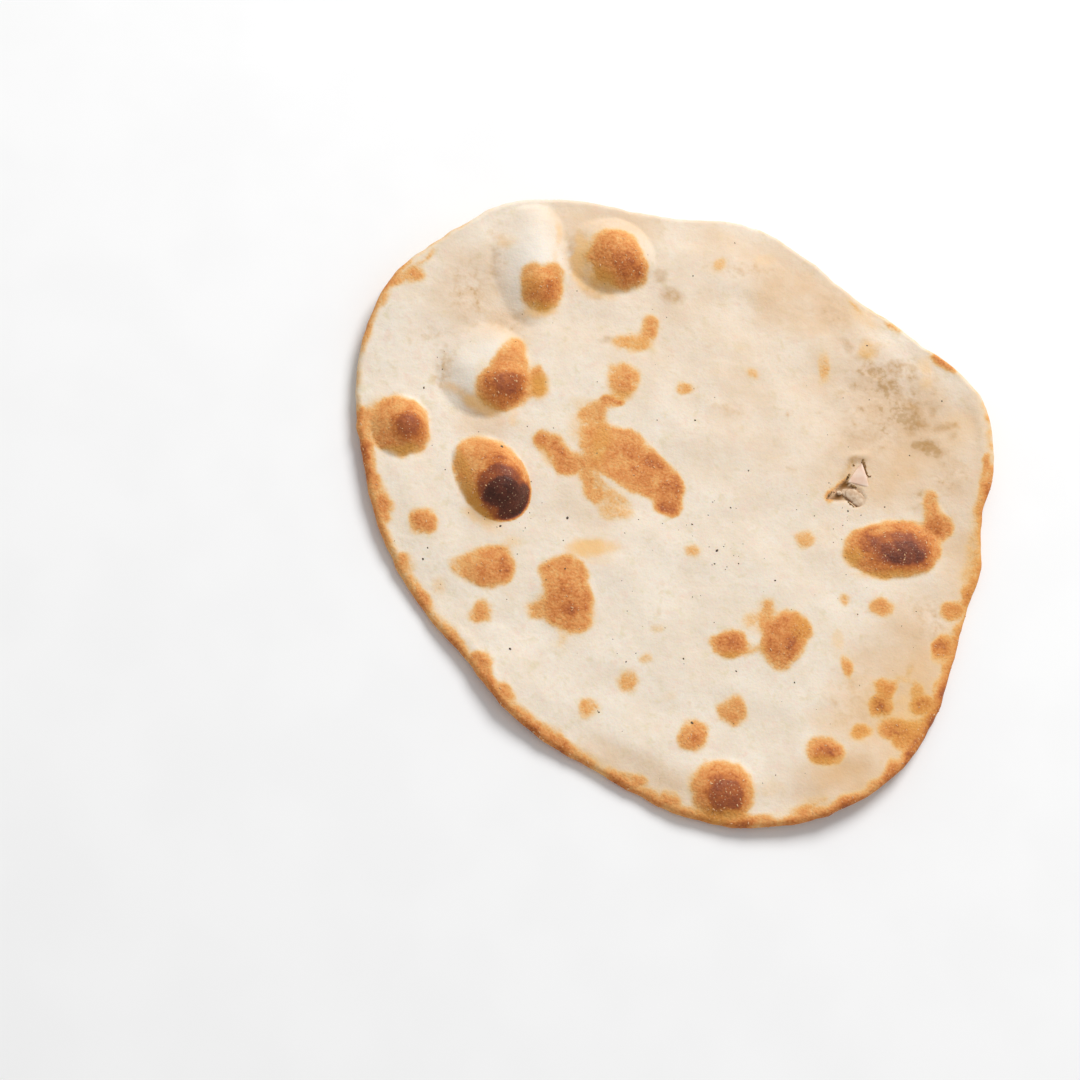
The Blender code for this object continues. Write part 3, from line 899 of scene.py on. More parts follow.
@dataclass
class Bread:
    """The bread's dense skin: upper face, rounded rim and underside in one closed mesh."""

    cells: int = 264  # across the upper face; the underside has half as many
    rim_rows: int = 8
    crowding: float = 0.14  # how much finer the mesh is towards the large blisters
    middle_thickness: float = 4.4
    rim_thickness: float = 3.6
    rim_rounding: float = 2.0
    rim_taper: float = 14.0  # distance over which the sheet thins to the rim
    rim_margin: float = 3.0  # distance over which blisters die out at the rim
    rim_wobble: Layers = ((10.0, 0.5, 35), (4.0, 0.3, 36))
    uneven_thickness: Layers = ((13.0, 0.09, 13),)
    bead_height: float = 0.35  # of the low bead that runs just inside the rim
    bead_inset: float = 2.6
    bead_spread: float = 1.9
    bead_start: Span = (-1.5, 1.0)  # the distances in over which it rises
    bead_mean: float = 0.4  # its height's share, apart from the gaps
    bead_gaps: Layers = ((16.0, 1.0, 19),)
    bead_end: Span = (60.0, 90.0)  # where it dies out along Y
    lumps: Layers = ((34.0, 0.60, 5), (15.0, 0.36, 6), (7.0, 0.16, 7))
    lump_reach: float = 4.0  # how far out over the rim's side they go
    wrinkles: Layers = ((5.5, 1.0, 17),)
    wrinkle_height: float = 0.12
    wrinkled: Span = (0.2, 0.7)  # the thinness over which they appear
    dimples: Layers = ((6.0, 0.3, 45),)  # in the underside
    clearance: float = 0.06  # keeps the underside just over the table
    underside_relief: float = 0.2  # its share of the fine relief
    underside_glow: float = 0.4
    underside_spots: int = 80
    underside_reach: float = 108.0
    underside_sizes: Span = (4.0, 17.0)
    underside_shapes: Span = (0.55, 0.95)  # the widths' shares of the lengths
    underside_tones: Span = (0.2, 0.6)
    char_end: Span = (1.0, 1.1)  # the shares of the way to the foot where char ends
    bare_share: float = 0.6  # how much of a scorch a bare streak takes away
    bare_edge: Span = (-0.8, 0.6)  # the depths over which it does
    crumb_edge: Span = (-0.25, 0.5)  # the depths in the hole where crumb begins
    flour_and_highlight_start: Span = (0.3, 0.6)  # the heats between which flour and painted highlight specks start
    flour_and_highlight_end: Span = (0.7, 0.92)  # and between which they stop, where the flour has burnt away
    heat: HeatMap = field(default_factory=HeatMap)
    tear: Tear = field(default_factory=Tear)
    seed: int = 5

    def relief(self, x: Array, y: Array, inward: Array) -> Array:
        """The relief of the upper skin over the plain sheet.

        Args:
            x: places along X.
            y: places along Y.
            inward: distances in from the edge of the flat face.

        Returns:
            The heights.
        """
        domes = [blister.rise(x, y) for blister in BLISTERS.values()]
        blisters = np.maximum.reduce(domes) + np.minimum(np.minimum.reduce(domes), 0)
        blisters += sum(bulge.rise(x, y) for bulge in BULGES) + self.tear.pucker.rise(x, y)
        thin = self.heat.soft(x, y, SOFT_MARKS[Mark.THIN])
        ridges = 1 - 2 * np.abs(unevenness(x, y, self.wrinkles))
        lumps = unevenness(x, y, self.lumps)
        lumps = lumps + self.wrinkle_height * ridges * smoothstep(*self.wrinkled, thin)
        bead = np.exp(-(((inward - self.bead_inset) / self.bead_spread) ** 2))
        bead = self.bead_height * (bead * smoothstep(*self.bead_start, inward))
        bead *= np.clip(self.bead_mean + unevenness(x, y, self.bead_gaps), 0, 1)
        bead *= 1 - smoothstep(*self.bead_end, y)
        lumps = lumps * smoothstep(0, self.rim_taper, inward + self.lump_reach)
        return blisters * smoothstep(0, self.rim_margin, inward) + bead + lumps

    def thickness(self, x: Array, y: Array, inward: Array) -> Array:
        """The plain sheet's thickness.

        Args:
            x: places along X.
            y: places along Y.
            inward: distances in from the edge of the flat face.

        Returns:
            The thicknesses.
        """
        full = self.middle_thickness - self.rim_thickness
        plain = self.rim_thickness + full * smoothstep(0, self.rim_taper, inward)
        return plain * (1 + unevenness(x, y, self.uneven_thickness))

    def disc(self, cells: int) -> tuple[Array, Array]:
        """A square grid of places pressed into a disc.

        Args:
            cells: the number of cells across.

        Returns:
            The places' bearings in degrees and shares of the way to the edge, as square arrays.
        """
        even = np.linspace(-1, 1, cells + 1)
        crowded = even + self.crowding * (even**2 - 1)
        across, along = np.meshgrid(crowded, -crowded[::-1])
        x, y = across * np.sqrt(1 - along**2 / 2), along * np.sqrt(1 - across**2 / 2)
        return np.degrees(np.arctan2(y, x)), np.minimum(1.0, np.hypot(x, y))

    @staticmethod
    def border(square: Array) -> Array:
        """The outer values of a square array, counterclockwise from its first corner.

        Args:
            square: the array, whose rows run towards +Y and columns towards +X.

        Returns:
            The values in a loop, each once.
        """
        return np.concatenate([square[0, :-1], square[:-1, -1], square[-1, :0:-1], square[:0:-1, 0]])

    def place(
        self, packed: PackedBread, bearing: Array, share: Array, level: float
    ) -> tuple[Array, Array, Array]:
        """Where points of the plain sheet lie on the plan.

        Args:
            packed: the CAD bread.
            bearing: bearings in degrees.
            share: shares of the way to the edge of the flat face.
            level: 0 on the upper face, 1 on the underside, and the rim's rows in between.

        Returns:
            Their places along X and Y, and the distance in from the edge of the flat face.
        """
        turn = np.radians(bearing)
        reach = packed.reach(bearing)
        x, y = reach * np.cos(turn), reach * np.sin(turn)
        face = reach - self.rim_rounding + unevenness(x, y, self.rim_wobble) * share**8
        distance = face * share + self.rim_rounding * math.sin(math.pi * level)
        return distance * np.cos(turn), distance * np.sin(turn), face * (1 - share)

    def mesh(self, packed: PackedBread) -> bpy.types.Mesh:
        """Build the closed skin with its marks as vertex attributes.

        Args:
            packed: the CAD bread.

        Returns:
            The mesh, in metres.
        """
        upper, lower = self.disc(self.cells), self.disc(self.cells // 2)
        ux, uy, upper_inward = self.place(packed, *upper, 0)
        lx, ly, lower_inward = self.place(packed, *lower, 1)
        base, hole = packed.underside(*upper), self.tear.inside(ux, uy)
        sunk = self.tear.depth * smoothstep(-self.tear.lip, self.tear.wall, hole)
        sunk *= 1 + unevenness(ux, uy, self.tear.floor)
        relief = self.relief(ux, uy, upper_inward) - sunk
        top = base + self.thickness(ux, uy, upper_inward) + relief
        dimples = np.maximum(0, unevenness(lx, ly, self.dimples))
        bottom = packed.underside(*lower) + dimples + self.clearance

        bearing, share, high, low = (self.border(values) for values in (*upper, top, base))
        levels, rim = np.arange(1, self.rim_rows) / self.rim_rows, []
        for level in levels:
            x, y, _ = self.place(packed, bearing, share, level)
            rim.append(np.stack([x, y, low + (high - low) * (1 + math.cos(math.pi * level)) / 2], 1))
        faces = [np.stack([part.ravel() for part in face], 1) for face in ((ux, uy, top), (lx, ly, bottom))]
        points = np.concatenate([faces[0], *rim, faces[1]])
        rim_points = len(points) - lx.size - ux.size
        mesh = bpy.data.meshes.new("skin")
        mesh.from_pydata((points * MM).tolist(), [], self.faces(rim_points))
        side = np.repeat(-self.rim_rounding * np.sin(math.pi * levels), len(bearing))
        inward = np.concatenate([upper_inward.ravel(), side, lower_inward.ravel()])
        torn = np.concatenate([hole.ravel(), np.full(rim_points + lx.size, -OVERHEAD)])
        marks = self.marks(points[:, 0], points[:, 1], inward, torn, len(points) - lx.size)
        for name, values in marks.items():
            attribute = mesh.attributes.new(name, "FLOAT", "POINT")
            attribute.data.foreach_set("value", np.asarray(values, np.float32))
        mesh.shade_smooth()
        return mesh

    def faces(self, rim_points: int) -> list[tuple[int, ...]]:
        """The faces of the skin, all facing outwards.

        Args:
            rim_points: how many points the rim's rows hold.

        Returns:
            Each face as its points' numbers.
        """
        count, half = self.cells + 1, self.cells // 2 + 1
        upper = np.arange(count * count).reshape(count, count)
        lower = np.arange(half * half).reshape(half, half) + upper.size + rim_points
        found = [
            np.stack([upper[:-1, :-1], upper[:-1, 1:], upper[1:, 1:], upper[1:, :-1]], -1),
            np.stack([lower[:-1, :-1], lower[1:, :-1], lower[1:, 1:], lower[:-1, 1:]], -1),
        ]
        loops = [self.border(upper)]
        for row in range(self.rim_rows - 1):
            start = upper.size + row * len(loops[0])
            loops.append(np.arange(start, start + len(loops[0])))
        for over, under in zip(loops, loops[1:]):
            found.append(np.stack([over, under, np.roll(under, -1), np.roll(over, -1)], -1))
        quads = [tuple(face) for part in found for face in part.reshape(-1, 4).tolist()]
        coarse, fine = self.border(lower), loops[-1]
        strips = []
        for step, here in enumerate(coarse.tolist()):
            there = int(coarse[(step + 1) % len(coarse)])
            first, second = int(fine[2 * step]), int(fine[2 * step + 1])
            third = int(fine[(2 * step + 2) % len(fine)])
            strips += [(first, here, second), (second, here, there), (second, there, third)]
        return quads + strips

    def marks(self, x: Array, y: Array, inward: Array, torn: Array, upper: int) -> dict[str, Array]:
        """Work out the baking's marks at the skin's points, painted shade and highlight specks among them.

        Args:
            x: the points' places along X.
            y: their places along Y.
            inward: their distances in from the edge of the flat faces.
            torn: their depths inside the torn hole.
            upper: how many of them, from the first, are on the upper face and the rim.

        Returns:
            The values by the names of their attributes.
        """
        over = np.arange(len(x)) < upper
        flush = [dabs for name, dabs in SCORCHES.items() if name != CHARRED]
        heat = np.where(
            over,
            self.heat.scorch(x, y, flush),
            self.heat.scorch(x, y, [(dab,) for dab in self.underside_dabs()]),
        )
        char = self.heat.scorch(x, y, [SCORCHES[CHARRED]])
        char *= 1 - smoothstep(*self.char_end, BLISTERS[CHARRED].measure(x, y)[2])
        heat = np.maximum(heat, char * over)
        bare = np.maximum.reduce([streak.measure(x, y)[1] for streak in BARE_STREAKS])
        heat *= 1 - self.bare_share * smoothstep(*self.bare_edge, bare) * over
        heat = np.maximum(heat, self.heat.soft(x, y, SOFT_SCORCHES) * over)
        heat = np.maximum(heat, self.heat.rim(x, y, inward))
        marks = {mark.value: self.heat.soft(x, y, dabs) * over for mark, dabs in SOFT_MARKS.items()}
        marks[Mark.GLOW.value] += self.underside_glow * ~over
        white = [BLISTERS[name].rise(x, y) / BLISTERS[name].height for name in WHITE_BLISTERS]
        pale_specks = smoothstep(*self.flour_and_highlight_start, heat) * (1 - smoothstep(*self.flour_and_highlight_end, heat))
        return marks | {
            "browning": heat,
            "puff": np.maximum.reduce([*white, np.zeros_like(x)]) * over,
            "crumb": smoothstep(*self.crumb_edge, torn),
            "relief": self.underside_relief + (1 - self.underside_relief) * over,
            "flour_and_highlight": pale_specks * over,
        }

    def underside_dabs(self) -> list[Dab]:
        """Seeded random scorch spots for the side that is never shown.

        Returns:
            A dab for each spot.
        """
        random = np.random.default_rng(self.seed)
        dabs = []
        for _ in range(self.underside_spots):
            turn, far = random.uniform(0, math.tau), self.underside_reach * math.sqrt(random.uniform())
            size = random.uniform(*self.underside_sizes)
            width, heading = size * random.uniform(*self.underside_shapes), random.uniform(0, 180)
            tone = random.uniform(*self.underside_tones)
            dabs.append(Dab(far * math.cos(turn), far * math.sin(turn), size, width, heading, tone))
        return dabs


@dataclass
class SkinRelief:
    """The fine unevenness of the skin, laid on by a geometry tree."""

    lump_size: float = 4.2
    lump_height: float = 0.16
    grain_size: float = 1.7
    grain_height: float = 0.09
    seed: int = 3

    def tree(self) -> bpy.types.NodeTree:
        """Build the tree: two layers of noise along the normal, weighted by the relief attribute.

        Returns:
            The tree.
        """
        tree, given = open_tree(
            "skin_relief", ("Lump Size", "Lump Height", "Grain Size", "Grain Height")
        )
        place = add_node(tree, "GeometryNodeInputPosition").outputs[0]
        shift = 0.0
        for layer in ("Lump", "Grain"):
            size, height = given.outputs[f"{layer} Size"], given.outputs[f"{layer} Height"]
            scale = add_node(tree, "ShaderNodeMath", {0: 1.0, 1: size}, operation="DIVIDE").outputs[0]
            inputs = {"Vector": place, "W": given.outputs["Seed"], "Scale": scale, "Detail": 1.5}
            noise = add_node(tree, "ShaderNodeTexNoise", inputs, noise_dimensions="4D").outputs[0]
            centred = add_node(tree, "ShaderNodeMath", {0: noise, 1: 0.5}, operation="SUBTRACT")
            inputs = {0: centred.outputs[0], 1: height, 2: shift}
            shift = add_node(tree, "ShaderNodeMath", inputs, operation="MULTIPLY_ADD").outputs[0]
        relief = add_node(tree, "GeometryNodeInputNamedAttribute", {"Name": "relief"}, data_type="FLOAT")
        weighted = add_node(tree, "ShaderNodeMath", {0: shift, 1: relief.outputs[0]}, operation="MULTIPLY")
        normal = add_node(tree, "GeometryNodeInputNormal").outputs[0]
        inputs = {0: normal, "Scale": weighted.outputs[0]}
        along = add_node(tree, "ShaderNodeVectorMath", inputs, operation="SCALE").outputs[0]
        moved = add_node(tree, "GeometryNodeSetPosition", {"Geometry": given.outputs[0], "Offset": along})
        close_tree(tree, moved.outputs[0], given.outputs["Material"])
        return tree

    def apply(self, mesh: bpy.types.Mesh, material: bpy.types.Material) -> bpy.types.Mesh:
        """Lay the relief on a skin.

        Args:
            mesh: the smooth skin.
            material: the finish that it gets.

        Returns:
            The finished skin.
        """
        sizes = {
            "Lump Size": self.lump_size * MM,
            "Lump Height": 2 * self.lump_height * MM,
            "Grain Size": self.grain_size * MM,
            "Grain Height": 2 * self.grain_height * MM,
            "Seed": self.seed,
            "Material": material,
        }
        return grown_mesh(mesh, self.tree(), sizes)


# ---------------------------------------------------------------- finishes


class Step(Enum):
    """A finish's steps: the node's type, its inputs in order, its output, and its settings."""

    MARK = ("ShaderNodeAttribute", (), "Fac", {})
    NOISE = ("ShaderNodeTexNoise", ("Vector", "Scale", "Detail", "Distortion"), "Fac", {})
    CELLS = ("ShaderNodeTexVoronoi", ("Vector", "Scale"), "Distance", {})
    RISE = (
        "ShaderNodeMapRange",
        ("Value", "From Min", "From Max", "To Min", "To Max"),
        0,
        {"interpolation_type": "SMOOTHSTEP"},
    )
    SCALE = ("ShaderNodeMath", (0, 1, 2), 0, {"operation": "MULTIPLY_ADD"})
    SUM = ("ShaderNodeMath", (0, 1), 0, {"operation": "ADD"})
    PRODUCT = ("ShaderNodeMath", (0, 1), 0, {"operation": "MULTIPLY"})
    RAMP = ("ShaderNodeValToRGB", (0,), 0, {})
    MIX = ("ShaderNodeMix", (0, 6, 7), 2, {"data_type": "RGBA"})
    BUMP = ("ShaderNodeBump", ("Height", "Distance"), 0, {})


@dataclass
class Graph:
    """A material's shader tree under construction."""

    material: bpy.types.Material

    def __post_init__(self) -> None:
        """Find the tree, its main shader and the object coordinates."""
        self.material.use_nodes = True
        self.tree = self.material.node_tree
        self.shader = self.tree.nodes["Principled BSDF"]
        self.place = add_node(self.tree, "ShaderNodeTexCoord").outputs["Object"]

    def add(self, step: Step, *values: Any, **settings: Any) -> Socket:
        """Add one step.

        Args:
            step: which.
            values: its sockets or constants, in the step's order; the rest keep the node's own.
            settings: further properties of the node.

        Returns:
            The socket with the result.
        """
        kind, inputs, output, fixed = step.value
        return add_node(self.tree, kind, dict(zip(inputs, values)), **fixed, **settings).outputs[output]

    def sway(self, *noises: tuple[Socket, float]) -> Socket:
        """Add up noises that swing about zero.

        Args:
            noises: each noise's socket, and how far it swings in all.

        Returns:
            The socket with the sum.
        """
        swings = [self.add(Step.SCALE, noise, swing, -swing / 2) for noise, swing in noises]
        return reduce(lambda first, second: self.add(Step.SUM, first, second), swings)


@dataclass(frozen=True)
class Pattern:
    """A pattern: the size of its grains in millimetres, its detail, and how far it is distorted."""

    size: float
    detail: float = 2.0
    distortion: float = 0.0

    def inputs(self) -> tuple[float, float, float]:
        """The scale, detail and distortion that a noise takes."""
        return 1 / (self.size * MM), self.detail, self.distortion


@dataclass(frozen=True)
class BakedDough:
    """Wheat dough baked against a clay oven wall.

    The skin is dry and matte, cream with a faint warm mottling. Where it bulged towards the heat it
    turns gold, brown and then black, with grain in every browned part, and where it was stretched
    thin it stays beige and looks damp. Painted shade darkens its creases, its torn hole and its right
    half, and pale flour grains also stand in as painted highlights.
    """

    cream: str = "#eee1cf"
    warm_cream: str = "#e9d9c4"
    rosy: str = "#ecd3c0"
    olive: str = "#dfcfad"
    pale: str = "#f0e6d8"
    # The next four colours also serve as painted shade.
    glow: str = "#efc48a"
    stain: str = "#b88a4e"
    toast: str = "#dbb487"
    thin: str = "#d6b591"
    thin_shade: str = "#bf9c70"
    crumb: str = "#dcb690"
    crumb_grey: str = "#c3a07a"
    # Painted shade deep in the torn hole.
    crumb_shade: str = "#7d501a"
    # Pale flour grains that also stand in as painted highlights, and a gold that is partly painted crease
    # shade.
    flour_and_highlight: str = "#f0cfa6"
    gilt_and_shade: str = "#d99c44"
    browning: tuple[tuple[float, str], ...] = (
        (0.08, "#e9ca98"), (0.18, "#e8bb7d"), (0.28, "#e5ab69"), (0.38, "#df9a59"), (0.47, "#d68a4b"),
        (0.56, "#c8783b"), (0.65, "#b16331"), (0.75, "#944e2f"), (0.86, "#683728"), (0.97, "#43241c"),
    )
    # The tints of the pale skin in their order: the noise or mark that each follows, the span over
    # which it grows with the shares at its ends, and its colour.
    tints: tuple[tuple[str, Ramp, str], ...] = (
        ("mottle", (0.36, 0.66), warm_cream),
        ("patch", (0.5, 0.75, 0.0, 0.5), pale),
        ("blotch", (0.55, 0.74, 0.0, 0.6), olive),
        ("blotch", (0.46, 0.28, 0.0, 0.6), rosy),
        ("ragged", (0.55, 0.74, 0.0, 0.35), olive),
        ("ragged", (0.46, 0.28, 0.0, 0.35), rosy),
        # The beige, damp, olive and golden tints below are partly painted shade.
        ("toast", (), toast),
        ("puff", (), pale),
        ("thin", (-0.1, 0.9, 0.0, 0.75), thin),
        ("thin", (0.6, 1.0, 0.0, 0.7), thin_shade),
        ("stain", (), stain),
        ("glow", (0.0, 1.0), glow),
    )
    # How far noises swing each part, over its strength.
    heat_swings: tuple[tuple[str, float], ...] = (("grain", 0.3), ("ragged", 0.3), ("patch", 0.5))
    thin_swings: tuple[tuple[str, float], ...] = (("blotch", 2.2), ("ragged", 1.3))
    mark_swings: tuple[tuple[str, str, float], ...] = (("toast", "mottle", 1.4), ("glow", "patch", 1.2))
    # Spans over the heat or a noise, each with the shares at its ends.
    grain_grows: Ramp = (0.1, 0.5, 0.15, 1.0)
    grain_calms: Ramp = (0.47, 0.72, 1.0, 0.35)
    flecks_grow: Ramp = (0.0, 0.4)
    stain_and_shade_broken: Ramp = (0.25, 0.75, 0.5, 0.95)
    browning_starts: Ramp = (0.0, 0.3)
    gilt_and_shade_fades: Ramp = (0.75, 0.5, 0.0, 0.8)
    flour_and_highlight_clings: Ramp = (0.3, 0.6, 0.0, 0.4)
    flour_and_highlight_grains: Ramp = (0.24, 0.1)
    crumb_pores: Ramp = (0.35, 0.65)
    crust_shines: Ramp = (0.3, 1.0)
    crust_rough: Ramp = (0.05, 0.5, 0.35, 1.0)
    # From the warm mottling down to the grain of the crust.
    patterns: tuple[tuple[str, Pattern], ...] = (
        ("mottle", Pattern(15.0, 3.0)),
        ("patch", Pattern(5.0, 4.0)),
        ("blotch", Pattern(4.0, 4.0, 0.3)),
        ("ragged", Pattern(1.8, 3.0)),
        ("grain", Pattern(0.9)),
    )
    flour_and_highlight_size: float = 1.2
    bump_depth: float = 0.2
    roughness: Ramp = (0.2, 0.8, 0.62, 0.84)  # over the grain
    crust_sheen: float = -0.28  # how much smoother the blackest crust is
    # Typical of bread: a weak, broad shine, and a little light that passes under the skin.
    surface: tuple[tuple[str, Any], ...] = (
        ("IOR", 1.45),
        ("Specular IOR Level", 0.25),
        ("Subsurface Weight", 0.1),
        ("Subsurface Radius", (1.0, 0.5, 0.25)),
        ("Subsurface Scale", 1.5 * MM),
    )

    def material(self) -> bpy.types.Material:
        """Build the finish.

        Returns:
            The material.
        """
        graph = Graph(bpy.data.materials.new("baked_dough"))
        add = graph.add
        noises = {name: add(Step.NOISE, graph.place, *pattern.inputs()) for name, pattern in self.patterns}
        names = ("browning", "puff", "crumb", *(mark.value for mark in Mark))
        marks = {name: add(Step.MARK, attribute_name=name) for name in names}
        sources = noises | marks
        heat = self.heat(graph, sources)
        pale, browned = self.pale_skin(graph, sources), self.browned(graph, sources, heat)
        colour = add(Step.MIX, add(Step.RISE, heat, *self.browning_starts), pale, browned)
        colour = add(Step.MIX, sources["crumb"], colour, self.open_crumb(graph, sources))
        sheen = add(Step.SCALE, add(Step.RISE, heat, *self.crust_shines), self.crust_sheen, 0.0)
        roughness = add(Step.SUM, add(Step.RISE, sources["grain"], *self.roughness), sheen)
        height = add(Step.SUM, sources["grain"], sources["ragged"])
        height = add(Step.PRODUCT, height, add(Step.RISE, heat, *self.crust_rough))
        bumps = add(Step.BUMP, height, self.bump_depth * MM)
        wires = {"Base Color": colour, "Roughness": roughness, "Normal": bumps}
        feed(graph.shader, dict(self.surface) | wires)
        return graph.material

    def heat(self, graph: Graph, sources: dict[str, Socket]) -> Socket:
        """The heat at each point, with ragged edges and a grain that grow with it.

        Args:
            graph: the material's graph.
            sources: the sockets with the noises and marks, by name.

        Returns:
            The socket with the heat.
        """
        add, heat = graph.add, sources["browning"]
        growing, calming = (add(Step.RISE, heat, *span) for span in (self.grain_grows, self.grain_calms))
        swings = graph.sway(*((sources[name], swing) for name, swing in self.heat_swings))
        uneven = add(Step.PRODUCT, swings, add(Step.PRODUCT, growing, calming))
        return add(Step.SUM, heat, uneven)

    def pale_skin(self, graph: Graph, sources: dict[str, Socket]) -> Socket:
        """The colour of the skin that the heat didn't brown.

        Args:
            graph: the material's graph.
            sources: the sockets with the noises and marks, by name.

        Returns:
            The socket with the colour.
        """
        add, follow = graph.add, dict(sources)
        for name, noise, swing in self.mark_swings:
            uneven = add(Step.PRODUCT, follow[name], graph.sway((follow[noise], swing)))
            follow[name] = add(Step.SUM, follow[name], uneven)
        flecks = graph.sway(*((sources[name], swing) for name, swing in self.thin_swings))
        flecks = add(Step.PRODUCT, flecks, add(Step.RISE, follow["thin"], *self.flecks_grow))
        follow["thin"] = add(Step.SUM, follow["thin"], flecks)
        broken = add(Step.RISE, follow["ragged"], *self.stain_and_shade_broken)
        follow["stain"] = add(Step.PRODUCT, follow["stain"], broken)
        colour = srgb(self.cream)
        for name, span, tint in self.tints:
            share = add(Step.RISE, follow[name], *span) if span else follow[name]
            colour = add(Step.MIX, share, colour, srgb(tint))
        return colour

    def browned(self, graph: Graph, sources: dict[str, Socket], heat: Socket) -> Socket:
        """The colour of the browned skin, golden with painted warm shade in the creases, with paler grains
        of flour in it that also stand in as painted highlights.

        Args:
            graph: the material's graph.
            sources: the sockets with the noises and marks, by name.
            heat: the socket with the heat.

        Returns:
            The socket with the colour.
        """
        add = graph.add
        colour = add(Step.RAMP, heat)
        ramp = colour.node.color_ramp.elements
        while len(ramp) < len(self.browning):
            ramp.new(0.5)
        for element, (tone, code) in zip(ramp, self.browning):
            element.position, element.color = tone, srgb(code)
        gilded_and_shaded = add(Step.PRODUCT, sources["glow"], add(Step.RISE, heat, *self.gilt_and_shade_fades))
        grains = add(Step.CELLS, graph.place, Pattern(self.flour_and_highlight_size).inputs()[0])
        pale_specks = add(Step.RISE, heat, *self.flour_and_highlight_clings)
        dust_and_highlights = add(Step.PRODUCT, add(Step.RISE, grains, *self.flour_and_highlight_grains), pale_specks)
        return add(Step.MIX, dust_and_highlights, add(Step.MIX, gilded_and_shaded, colour, srgb(self.gilt_and_shade)), srgb(self.flour_and_highlight))

    def open_crumb(self, graph: Graph, sources: dict[str, Socket]) -> Socket:
        """The colour of the crumb inside the torn spot, with painted shade in its depths.

        Args:
            graph: the material's graph.
            sources: the sockets with the noises and marks, by name.

        Returns:
            The socket with the colour.
        """
        pores = graph.add(Step.RISE, sources["patch"], *self.crumb_pores)
        colour = graph.add(Step.MIX, pores, srgb(self.crumb), srgb(self.crumb_grey))
        return graph.add(Step.MIX, sources["hollow"], colour, srgb(self.crumb_shade))


@dataclass(frozen=True)
class PlainFinish:
    """One even matte finish with a little mottling between two colours."""

    name: str
    colour: str
    shade: str
    roughness: float
    grain_size: float
    mottle: Span = (0.35, 0.65)  # the noise over which one colour turns into the other

    def material(self) -> bpy.types.Material:
        """Build the finish.

        Returns:
            The material.
        """
        graph = Graph(bpy.data.materials.new(self.name))
        grain = graph.add(Step.NOISE, graph.place, *Pattern(self.grain_size).inputs())
        mottle = graph.add(Step.RISE, grain, *self.mottle)
        colour = graph.add(Step.MIX, mottle, srgb(self.colour), srgb(self.shade))
        feed(graph.shader, {"Base Color": colour, "Roughness": self.roughness})
        return graph.material


# Burnt flour off the oven wall: nearly black, dry and rough.
BURNT_FLOUR = PlainFinish("burnt_flour", "#3a2f26", "#6b5a45", 0.8, 0.6)
# Dry dusting flour, whose pale grains also stand in as painted highlights: warm off-white and fully matte.
DUSTING_FLOUR_AND_HIGHLIGHTS = PlainFinish("dusting_flour_and_highlights", "#e7bd90", "#d8a06c", 0.9, 0.5)
# The moist inner side of the skin: pinkish cream and smooth.
INNER_DOUGH = PlainFinish("inner_dough", "#ffe3cd", "#fbd4ba", 0.7, 3.0)
# Open crumb: beige and porous.
BREAD_CRUMB = PlainFinish("bread_crumb", "#ddc3a6", "#c5a586", 0.85, 1.6)
# The torn edge, toasted by the heat, and painted shadow along the flap and the tear's creases: olive brown
# and dry.
SINGED_EDGE_AND_SHADOW = PlainFinish("singed_edge_and_shadow", "#7a5a34", "#a37c4a", 0.75, 0.8)
# The floor: plain matte paper.
WHITE_PAPER = PlainFinish("white_paper", "#f8f8f8", "#f6f6f6", 0.9, 40.0)


# ---------------------------------------------------------------- small pieces


